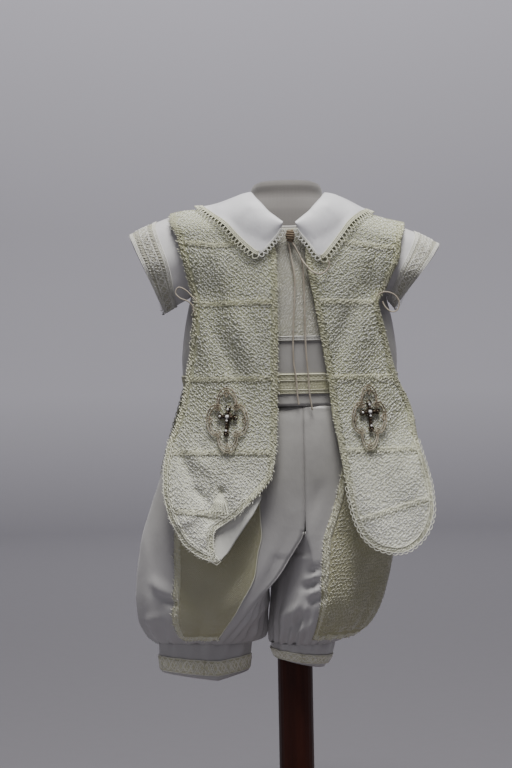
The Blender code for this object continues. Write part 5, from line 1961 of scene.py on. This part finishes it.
def weave(word: str, cloth: VestPanel, stitches: tuple[Stitch, ...], span: tuple[float, ...],
          inside: Inside, seed: int) -> Thing:
    """Net of slanted satin stitches all over a vest panel.

    Args:
        word: which panel it is.
        cloth: the panel.
        stitches: kinds of stitch, which cross.
        span: lowest and highest number across, then up.
        inside: tells which places have a stitch.
        seed: seed of the first kind; each other has the next one.

    Returns:
        The piece.
    """
    yarns = Yarns()
    for number, stitch in enumerate(stitches):
        stitch.work(cloth, yarns, span, seed + number, inside)
    return add(yarns.make("vest_stitches_" + word), VEST_THREAD, "vest_lace")


def edging(word: str, cloth: VestPanel, line: Array, seed: int, middle_x: float, lift: float,
           loops: Pair | None = None) -> Yarns:
    """Net and crochet threads along a vest panel's edge, with scallops on its outer side.

    Args:
        word: which panel it is.
        cloth: the panel.
        line: points (across, up) that the edging follows.
        seed: seed of its stitches.
        middle_x: a place across that lies inside the panel.
        lift: height of the scallops' feet above the cloth.
        loops: level under which the scallops start, and their reach; all along where left out.

    Returns:
        The threads, before they are made into a piece.
    """
    ribbon = Ribbon.on(cloth, *line.T)
    strip("edging_ground_" + word, ribbon, EDGING, 0.55, TRIM_GROUND, "trim_lace", "vest_edging_" + word)
    yarns = Yarns()
    BAND_STITCH.work(ribbon, yarns, (0, ribbon.length, -3.5, 3.7), seed)
    way = ribbon.way_from(cloth.form(np.array(middle_x), np.array(560.0)))
    start, end = 0.0, None
    if loops:
        start = ribbon.reach[np.argmax(line[:, 1] < loops[0])]
        end = start + loops[1]
    LaceBand(EDGING, 6.8, 1, 1, 3.1, eyelets=False).lay(ribbon, yarns, lift, start, end, way)
    return yarns


@dataclass
class VestFront:
    """One open front of the vest: lace cloth, edging and sewn rows of trim; its braid medallion is made
    apart.
    """

    side: Side
    edges: Table
    creases: Creases
    trims: tuple[Pair, ...]  # middle height of each row and its rise outwards
    lean: float
    pleats: tuple[Pair, ...] = ()  # where pleats gathered in a pinch end
    pinch: Pair = (-80.2, 415.0)
    wall: float = 1.2
    trim: float = 6.5
    tail_loops: Pair = (470.0, 250.0)  # level of the first scallop, their reach

    def __post_init__(self) -> None:
        """Make the surface and the stitches of this front."""
        self.cloth = VestPanel(Facing.FRONT, self.creases)
        self.stitches = (Stitch(self.lean, 5.2, 2.7, 4.2, 1.2, 0.95, 0.15, 0, 1.7),
                         Stitch(-self.lean, 5.2, 2.7, 4, 1.15, 0.9, 0.1, 1, 1.7))

    def build(self) -> None:
        """Make the panel, its weave, its edging and its trims."""
        word = self.side.word
        levels = panel_levels(self.edges, 42, 13, 2.5)
        share = np.linspace(0, 1, 51)
        inner = self.edges.read("inner", levels)[:, None]
        outer = self.edges.read("outer", levels)[:, None]
        a = self.side.value * (inner + (outer - inner) * share)
        panel = shell("vest_front_cloth_" + word, self.cloth, a, levels[:, None] + 0 * share, self.wall)
        add(panel.thing, VEST_GROUND, "vest_lace", "vest_front_" + word)
        low, high = self.edges.span("z")
        reach = self.edges.span("outer")[1] + 4
        span = (-reach, 0.0, low, high) if self.side is Side.LEFT else (0.0, reach, low, high)
        pieces = [weave(word, self.cloth, self.stitches, span, self.inside, 41), self.edge_band(),
                  self.trim_rows()]

    def inside(self, x: Array, z: Array) -> Array:
        """Tell which places lie on the panel, clear of its edging and of the gathered pleats.

        Args:
            x: distance to the right.
            z: level.

        Returns:
            True where a place does.
        """
        across = self.side.value * x
        inner = self.edges.read("inner", z) + EDGING
        outer = self.edges.read("outer", z) - EDGING
        low, high = self.edges.span("z")
        on_cloth = (across > inner) & (across < outer) & (z > low + EDGING * 0.8) & (z < high - 1)
        if not self.pleats:
            return on_cloth
        below = (self.pinch[1] - z) / (self.pinch[1] - self.pleats[0][1])
        beside = np.abs(x - self.pinch[0] + 2.5 * below)
        return on_cloth & ((below < 0) | (below > 1.02) | (beside > 12.5 * below + 1))

    def edge_band(self) -> Thing:
        """Make the edging along all free edges, and the pleats that spread from the pinch.

        Returns:
            The piece of its threads.
        """
        line = panel_outline(self.edges, Facing.FRONT, EDGING / 2) * (self.side.value, 1)
        yarns = edging(self.side.word, self.cloth, line, 62, self.side.value * 70.0, 0.85, self.tail_loops)
        share = np.linspace(0.25, 1.0, 7)
        for x, z in self.pleats:
            bow = (x - self.pinch[0]) * 0.12 * np.sin(np.pi * share)
            yarns.lay(self.cloth, self.pinch[0] + (x - self.pinch[0]) * share + bow,
                      self.pinch[1] + (z - self.pinch[1]) * share, 1.2, 1.3, 0.1, 0.3)
        return add(yarns.make("edging_lacework_" + self.side.word), CROCHET, "trim_lace")

    def trim_rows(self) -> Thing:
        """Make the level rows of trim sewn across the front.

        Returns:
            The piece of their threads.
        """
        word = self.side.word
        yarns = Yarns()
        for number, (height, rise) in enumerate(self.trims, start=1):
            inner = float(self.edges.read("inner", height)) + EDGING
            outer = float(self.edges.read("outer", height + rise)) - EDGING
            x = np.linspace(inner, outer, 40)
            z = height + rise * ((x - inner) / (outer - inner) - 0.25)
            ribbon = Ribbon.on(self.cloth, self.side.value * x, z)
            strip(f"trim_ground_{word}_{number}", ribbon, self.trim, 0.6, TRIM_GROUND, "trim_lace",
                  f"vest_trim_{word}_{number}")
            BAND_STITCH.work(ribbon, yarns, (0, ribbon.length, -3.7, 4.0), 63)
        return add(yarns.make("trim_lacework_" + word), CROCHET, "trim_lace")


@dataclass
class VestBack:
    """Back of the vest: one lace panel with the same shoulders and a rounded hem."""

    creases: Creases
    wall: float = 1.2
    stitches: tuple[Stitch, ...] = (Stitch(43, 5.5, 2.85, 4.2, 1.15, 0.95, 0.15, 0, 1.7),
                                    Stitch(-43, 5.5, 2.85, 4, 1.1, 0.9, 0.1, 1, 1.7))

    def build(self) -> None:
        """Make the panel, its weave and its edging."""
        cloth = VestPanel(Facing.BACK, self.creases)
        low, high = VEST_BACK.span("z")
        levels = panel_levels(VEST_BACK, 44, 14, 4.5)
        share = np.linspace(-1, 1, 67)
        outer = VEST_BACK.read("outer", levels)[:, None]
        panel = shell("vest_back_cloth", cloth, outer * share, levels[:, None] + 0 * share, self.wall)
        add(panel.thing, VEST_GROUND, "vest_lace", "vest_back")

        def inside(x: Array, z: Array) -> Array:
            """Whether places lie on the panel, clear of its edging."""
            reach = VEST_BACK.read("outer", z) - EDGING
            return (np.abs(x) < reach) & (z > low + EDGING) & (z < high - 3)

        stitches = weave("back", cloth, self.stitches, (-160.0, 160.0, low, high), inside, 51)
        yarns = edging("back", cloth, panel_outline(VEST_BACK, Facing.BACK, EDGING / 2), 64, 0.0, 0.6)
        edge = add(yarns.make("edging_lacework_back"), CROCHET, "trim_lace")


class Lining(Cloth):
    """Satin lining behind the turned corner of the left tail; a is a share across, b the height."""

    sense = -1.0
    probe = (0.01, 0.3)
    edge = Table("z edge", ((411, 35), (393, 42.5), (378, 52.5), (362, 63.5), (347, 73.5), (339, 80.5)))
    tuck = 9.0
    behind = 4.5
    wall = 0.9

    def form(self, a: Array, b: Array) -> Array:
        """Points of the outside, in millimetres.

        Args:
            a: first number of each place.
            b: second number of each place.

        Returns:
            The points.
        """
        start = VEST_LEFT.read("inner", b) + self.tuck
        across = start + (self.edge.read("edge", b) - start) * a
        return points(-across, -vest_depth(-across, b) + self.behind, b)

    def build(self) -> None:
        """Make the lining."""
        low, high = self.edge.span("z")
        a, b = np.meshgrid(np.linspace(0, 1, 17), np.linspace(high, low, 40))
        panel = shell("satin_lining_left", self, a, b, self.wall)
        add(panel.thing, LINING_SATIN, "satin", "vest_lining_left")


# -------------------- medallions
def circle(centre: Array | Pair, radius: float, steps: int) -> tuple[Array, Array]:
    """Numbers across and up of places on a closed circle."""
    turn = np.linspace(0, 2 * np.pi, steps)
    return centre[0] + radius * np.sin(turn), centre[1] + radius * np.cos(turn)


@dataclass
class Medallion:
    """Four-lobed ornament of sewn braid round a dark beaded cross."""

    side: Side
    cloth: VestPanel
    centre: Pair
    half_size: Pair
    cross: Pair
    turn: float
    braid: float = 1.5  # width of the braid
    dip: float = 0.36  # how far its outline draws in between two lobes
    foot: float = 2.6  # height of the cross above the cloth
    bead: float = 1.45  # radius of a bead
    centre_bead: float = 2.4
    arms = ((0, 13.5), (90, 11.5), (180, 22.0), (270, 11.5))  # angle and length of each

    def build(self) -> None:
        """Lay the braid and set the cross on it."""
        yarns = Yarns()
        for share in (0.97, 0.84):
            yarns.lay(self.cloth, *self.outline(share), self.braid, 1.1, 2.7, 1.0)
        for angle, size in ((0, 1.0), (90, 0.8), (180, 1.0), (270, 0.8)):
            yarns.lay(self.cloth, *self.teardrop(np.radians(angle), size), self.braid * 0.9, 1.0, 2.9, 1.0)
        for angle in (45, 135, 225, 315):
            yarns.lay(self.cloth, *self.curl(np.radians(angle)), self.braid * 0.8, 0.9, 2.9, 0.8)
        add(yarns.make("soutache_" + self.side.word), SOUTACHE, "braid", "medallion_" + self.side.word)
        self.cross_piece()

    def at(self, x: Array | float, z: Array | float) -> tuple[Array, Array]:
        """Places (across, up) from shares of the ornament's half sizes."""
        return self.centre[0] + self.half_size[0] * x, self.centre[1] + self.half_size[1] * z

    def outline(self, share: float) -> tuple[Array, Array]:
        """Four-lobed line at a share of the ornament's size.

        Args:
            share: the share.

        Returns:
            The line's numbers across and up.
        """
        turn = np.linspace(0, 2 * np.pi, 97)
        reach = share * (1 - self.dip * (1 - np.abs(np.cos(2 * turn)) ** 0.7))
        return self.at(reach * np.sin(turn), reach * np.cos(turn))

    def teardrop(self, angle: float, size: float) -> tuple[Array, Array]:
        """Loop of braid inside a lobe.

        Args:
            angle: where the lobe is, in radians.
            size: size of the loop, as a share.

        Returns:
            The line's numbers across and up.
        """
        t = np.linspace(0, 2 * np.pi, 25)
        along = 0.68 + 0.13 * size * (1 - np.cos(t)) * 0.9
        across = 0.10 * size * np.sin(t) * (1 - np.cos(t)) * 0.9
        return self.at(along * np.sin(angle) + across * np.cos(angle),
                       along * np.cos(angle) - across * np.sin(angle))

    def curl(self, angle: float) -> tuple[Array, Array]:
        """Small spiral of braid between two lobes.

        Args:
            angle: where it is, in radians.

        Returns:
            The line's numbers across and up.
        """
        t = np.linspace(0.6, 3.6 * np.pi, 30)
        radius = 0.9 + 0.30 * t
        x, z = self.at(0.60 * np.sin(angle), 0.56 * np.cos(angle))
        return x + radius * np.sin(t), z + radius * np.cos(t)

    def cross_piece(self) -> None:
        """Make the dark metal cross with its round buds, ringed settings and beads."""
        yarns = Yarns()
        middle = np.array(self.cross)
        spots, sizes = [], []
        for angle, length in self.arms:
            turn = np.radians(angle) + np.radians(self.turn)
            ray = np.array([np.sin(turn), np.cos(turn)])
            line = middle + ray * np.linspace(0.5, length - 3.2, 8)[:, None]
            yarns.lay(self.cloth, *line.T, 4.2, 1.6, self.foot, 1.0)
            for reach in np.arange(4.4, length - 2.0, 3.7):
                spots.append(middle + ray * reach)
                sizes.append(self.bead)
            bud = middle + ray * (length - 3.2)
            yarns.lay(self.cloth, *circle(bud, 2.7, 17), 1.3, 1.9, self.foot, 1.0)
        for radius in (3.0, 5.0):
            yarns.lay(self.cloth, *circle(middle, radius, 25), 1.2, 2.1, self.foot, 1.0)
        word = self.side.word
        add(yarns.make("cross_setting_" + word), METAL, "dark_metal", "cross_" + word)
        spots = np.array(spots + [middle])
        sizes = np.array(sizes + [self.centre_bead])
        bright = np.arange(len(spots)) % 3 == 1
        bright[-1] = True
        for name, chosen, finish in (("cross_pearls_", bright, PEARL), ("cross_beads_", ~bright, METAL)):
            a, b = spots[chosen].T
            beads = dots(name + word, self.cloth.place(a, b, self.foot + 1.8), self.cloth.normal(a, b),
                         sizes[chosen])
            add(beads, finish, "dark_metal")


# -------------------- collar
@dataclass
class CollarHalf:
    """Half of the white pointed collar with its crochet edge."""

    side: Side
    lay: float
    tip_drop: float
    reach: float
    point: float = 3.6  # station of the collar's point
    wall: float = 0.9
    hem: float = 0.94  # share of its width that is satin
    edge_band: LaceBand = LaceBand(4.4, 3.4, 1.15, 1, 2.6, drop=2.1)
    front_band: LaceBand = LaceBand(2.4, 3.4, 1.1, 0.8, 2.2, drop=2.1)

    def build(self) -> None:
        """Make the satin and its lace edge."""
        word = self.side.word
        cloth = Collar(self.side, self.lay, self.tip_drop, self.reach)
        stations = np.linspace(0, cloth.stations, cloth.stations * 5 + 1)
        a, b = np.meshgrid(stations, np.linspace(0, self.hem, 20))
        panel = shell("satin_collar_" + word, cloth, a, b, self.wall)
        add(panel.thing, COLLAR_SATIN, "satin", "collar_" + word)
        neck = cloth.form(np.array(4.0), np.array(0.0))
        yarns, picots = Yarns(), Yarns()
        ribbon = self.edge(cloth, self.point, float(cloth.stations), self.hem)
        ground = strip("collar_ground_" + word, ribbon, self.edge_band.width, 0.7, TRIM_GROUND, "trim_lace",
                       "collar_lace_" + word)
        self.edge_band.lay(ribbon, yarns, 0.7, way=ribbon.way_from(neck))
        front = self.edge(cloth, 0.0, self.point, 0.955)
        self.front_band.lay(front, picots, 0.6, way=front.way_from(neck))
        lace = add(yarns.make("collar_crochet_" + word), CROCHET, "trim_lace")
        loops = add(picots.make("collar_picots_" + word), WHITE_CROCHET, "trim_lace")

    def edge(self, cloth: Collar, first: float, last: float, share: float) -> Ribbon:
        """Ribbon between two stations of the collar, at a share of its width."""
        return Ribbon.on(cloth, np.linspace(first, last, int((last - first) * 12) + 1), share)


# -------------------- the whole outfit
LEFT_LEG_CREASES = creases(
    (-150, 304, -38, 24, 7, 5), (-140, 290, -20, 18, 5, -5.5), (-160, 268, 30, 22, 6, 2.5),
    (-14, 345, 66, 60, 9, -3), (-34, 330, 62, 56, 7, 2.6), (-52, 268, 44, 34, 4.5, 5),
    (-43, 264, 56, 32, 3.5, -4.5), (-36, 276, 62, 30, 4, 3.4), (-160, 330, 84, 40, 6, -2.6),
    (-66, 256, 46, 26, 4, -2.8), (-84, 330, 84, 70, 12, 1.6), (-120, 330, 96, 70, 12, -1.6),
    (-10, 430, 84, 60, 8, 2.2), (-30, 410, 92, 70, 8, -1.8), (-168, 350, 98, 50, 8, 2))
RIGHT_LEG_CREASES = creases(
    (-4, 352, 73, 44, 6, -3.4), (10, 350, 66, 50, 8, 3), (22, 324, 34, 16, 4.5, -4),
    (18, 309, 26, 20, 4.5, -5), (20, 317, 30, 16, 3.5, 3), (24, 292, 22, 18, 4.5, -4),
    (22, 300, 26, 14, 3.5, 2.6), (2, 265, 45, 22, 5, -5), (-6, 276, 44, 26, 5, 3.2),
    (12, 258, 40, 20, 3.5, 2.8), (60, 310, 84, 60, 12, 2), (84, 300, 78, 50, 9, -2.2),
    (22, 400, 72, 34, 6, -3))
BACK_LEG_CREASES = creases(
    (-110, 320, 80, 70, 12, 3), (-70, 300, 98, 60, 10, -3), (-140, 290, 30, 30, 7, -3),
    (50, 320, 96, 70, 12, 3), (84, 300, 80, 60, 9, -2.6), (20, 280, 60, 40, 8, -2),
    (-30, 420, 85, 60, 12, 2.2), (60, 430, 96, 60, 12, 2.2), (10, 330, 88, 60, 9, -2.4))
VEST_LEFT_CREASES = creases(
    (-84, 632, 95, 66, 11, -3.4), (-69, 563, 112, 58, 10, -3.8), (-54, 588, 104, 60, 11, 3.6),
    (-100, 590, 98, 66, 9, 3.4), (-60, 470, 95, 46, 10, 1.6), (-119, 443, 108, 36, 7, -3.2),
    (-103, 411, 139, 20, 5.5, -3), (-103, 447, 132, 28, 8, 2.4), (-79, 415, 90, 8, 3.5, -4.5),
    (-84, 398, 80, 20, 9, 1.8), (-118, 384, 28, 26, 6, 2.4), (-98, 366, 64, 22, 5, 2.2))
VEST_RIGHT_CREASES = creases(
    (92, 650, 84, 60, 8, -3.4), (60, 590, 76, 64, 9, -3.8), (82, 590, 82, 64, 10, 3.2),
    (112, 474, 66, 60, 12, -3.6), (140, 440, 70, 50, 9, 2))
VEST_BACK_CREASES = creases(
    (-80, 560, 97, 110, 12, 4.2), (-34, 480, 88, 120, 11, -3.6), (28, 540, 80, 120, 12, 4),
    (84, 490, 101, 100, 11, -3.4), (-112, 440, 104, 60, 9, 3.4), (118, 425, 76, 56, 9, 3.4),
    (-64, 400, 84, 44, 8, -3), (56, 410, 96, 50, 8, 3.2))
TRIMS = ((695.0, 0.0), (623.6, 0.0), (538.5, 0.0), (457.0, 0.0))
TAIL_PLEATS = ((-94, 384), (-90.5, 382.5), (-87, 381.5), (-83, 380.5), (-79, 380), (-75, 380.5),
               (-71.5, 382))
LEFT_CUFF = Cuff((53, 24), -103.5, 205, 0, -3, 0, (0.3, 8.5, 6), 1.4)
RIGHT_CUFF = Cuff((36.5, 40.5), 9, 214.5, -6.5, -8.5, -3.5, (0, 0, 0), 1.2)
LEFT_LEG_STITCHES = (Stitch(40, 3.3, 3.9, 4.2, 0.85, 0.4, 0.8, 0, 1.6),
                     Stitch(-46, 3.3, 3.9, 3.2, 0.75, 0.45, 0.8, 0.5, 1.6))
RIGHT_LEG_STITCHES = (Stitch(62, 3.7, 4.1, 4.4, 1.15, 0.95, 0.8, 0, 1.4),
                      Stitch(-20, 3.7, 4.1, 3.4, 1, 0.8, 0.8, 0.5, 1.4))


def main() -> None:
    """Build the studio, then every piece of the outfit."""
    logging.basicConfig(level=logging.INFO, format="%(name)s: %(message)s")
    Studio().build()
    Ties().build()
    DressForm().build()
    RomperBody().build()
    RomperSleeve(Side.LEFT, Sleeve(Side.LEFT, (182, 705), (141.5, 617), 31, 4, 0.7)).build()
    RomperSleeve(Side.RIGHT, Sleeve(Side.RIGHT, (175, 703), (121, 621), 31, 3.5, 0.7)).build()
    RomperLeg(Side.LEFT, Leg(Side.LEFT, LEG_LEFT, LEFT_LEG_CREASES, BACK_LEG_CREASES), LEFT_CUFF, 95.0,
              LEFT_LEG_STITCHES).build()
    RomperLeg(Side.RIGHT, Leg(Side.RIGHT, LEG_RIGHT, RIGHT_LEG_CREASES, BACK_LEG_CREASES), RIGHT_CUFF, 120.0,
              RIGHT_LEG_STITCHES).build()
    left = VestFront(Side.LEFT, VEST_LEFT, VEST_LEFT_CREASES, TRIMS + ((389.0, 6.0),), -43.0, TAIL_PLEATS)
    left.build()
    right = VestFront(Side.RIGHT, VEST_RIGHT, VEST_RIGHT_CREASES,
                      ((695, 8),) + TRIMS[1:] + ((386, 20),), 43)
    right.build()
    VestBack(VEST_BACK_CREASES).build()
    Lining().build()
    Medallion(Side.LEFT, left.cloth, (-71, 493), (23.5, 37), (-70.5, 496.5), 5).build()
    Medallion(Side.RIGHT, right.cloth, (85.5, 493), (19.5, 37), (86, 499), -4).build()
    CollarHalf(Side.LEFT, 4.5, 0, 1).build()
    CollarHalf(Side.RIGHT, 3.6, 5, 0.85).build()


if __name__ == "__main__":
    main()
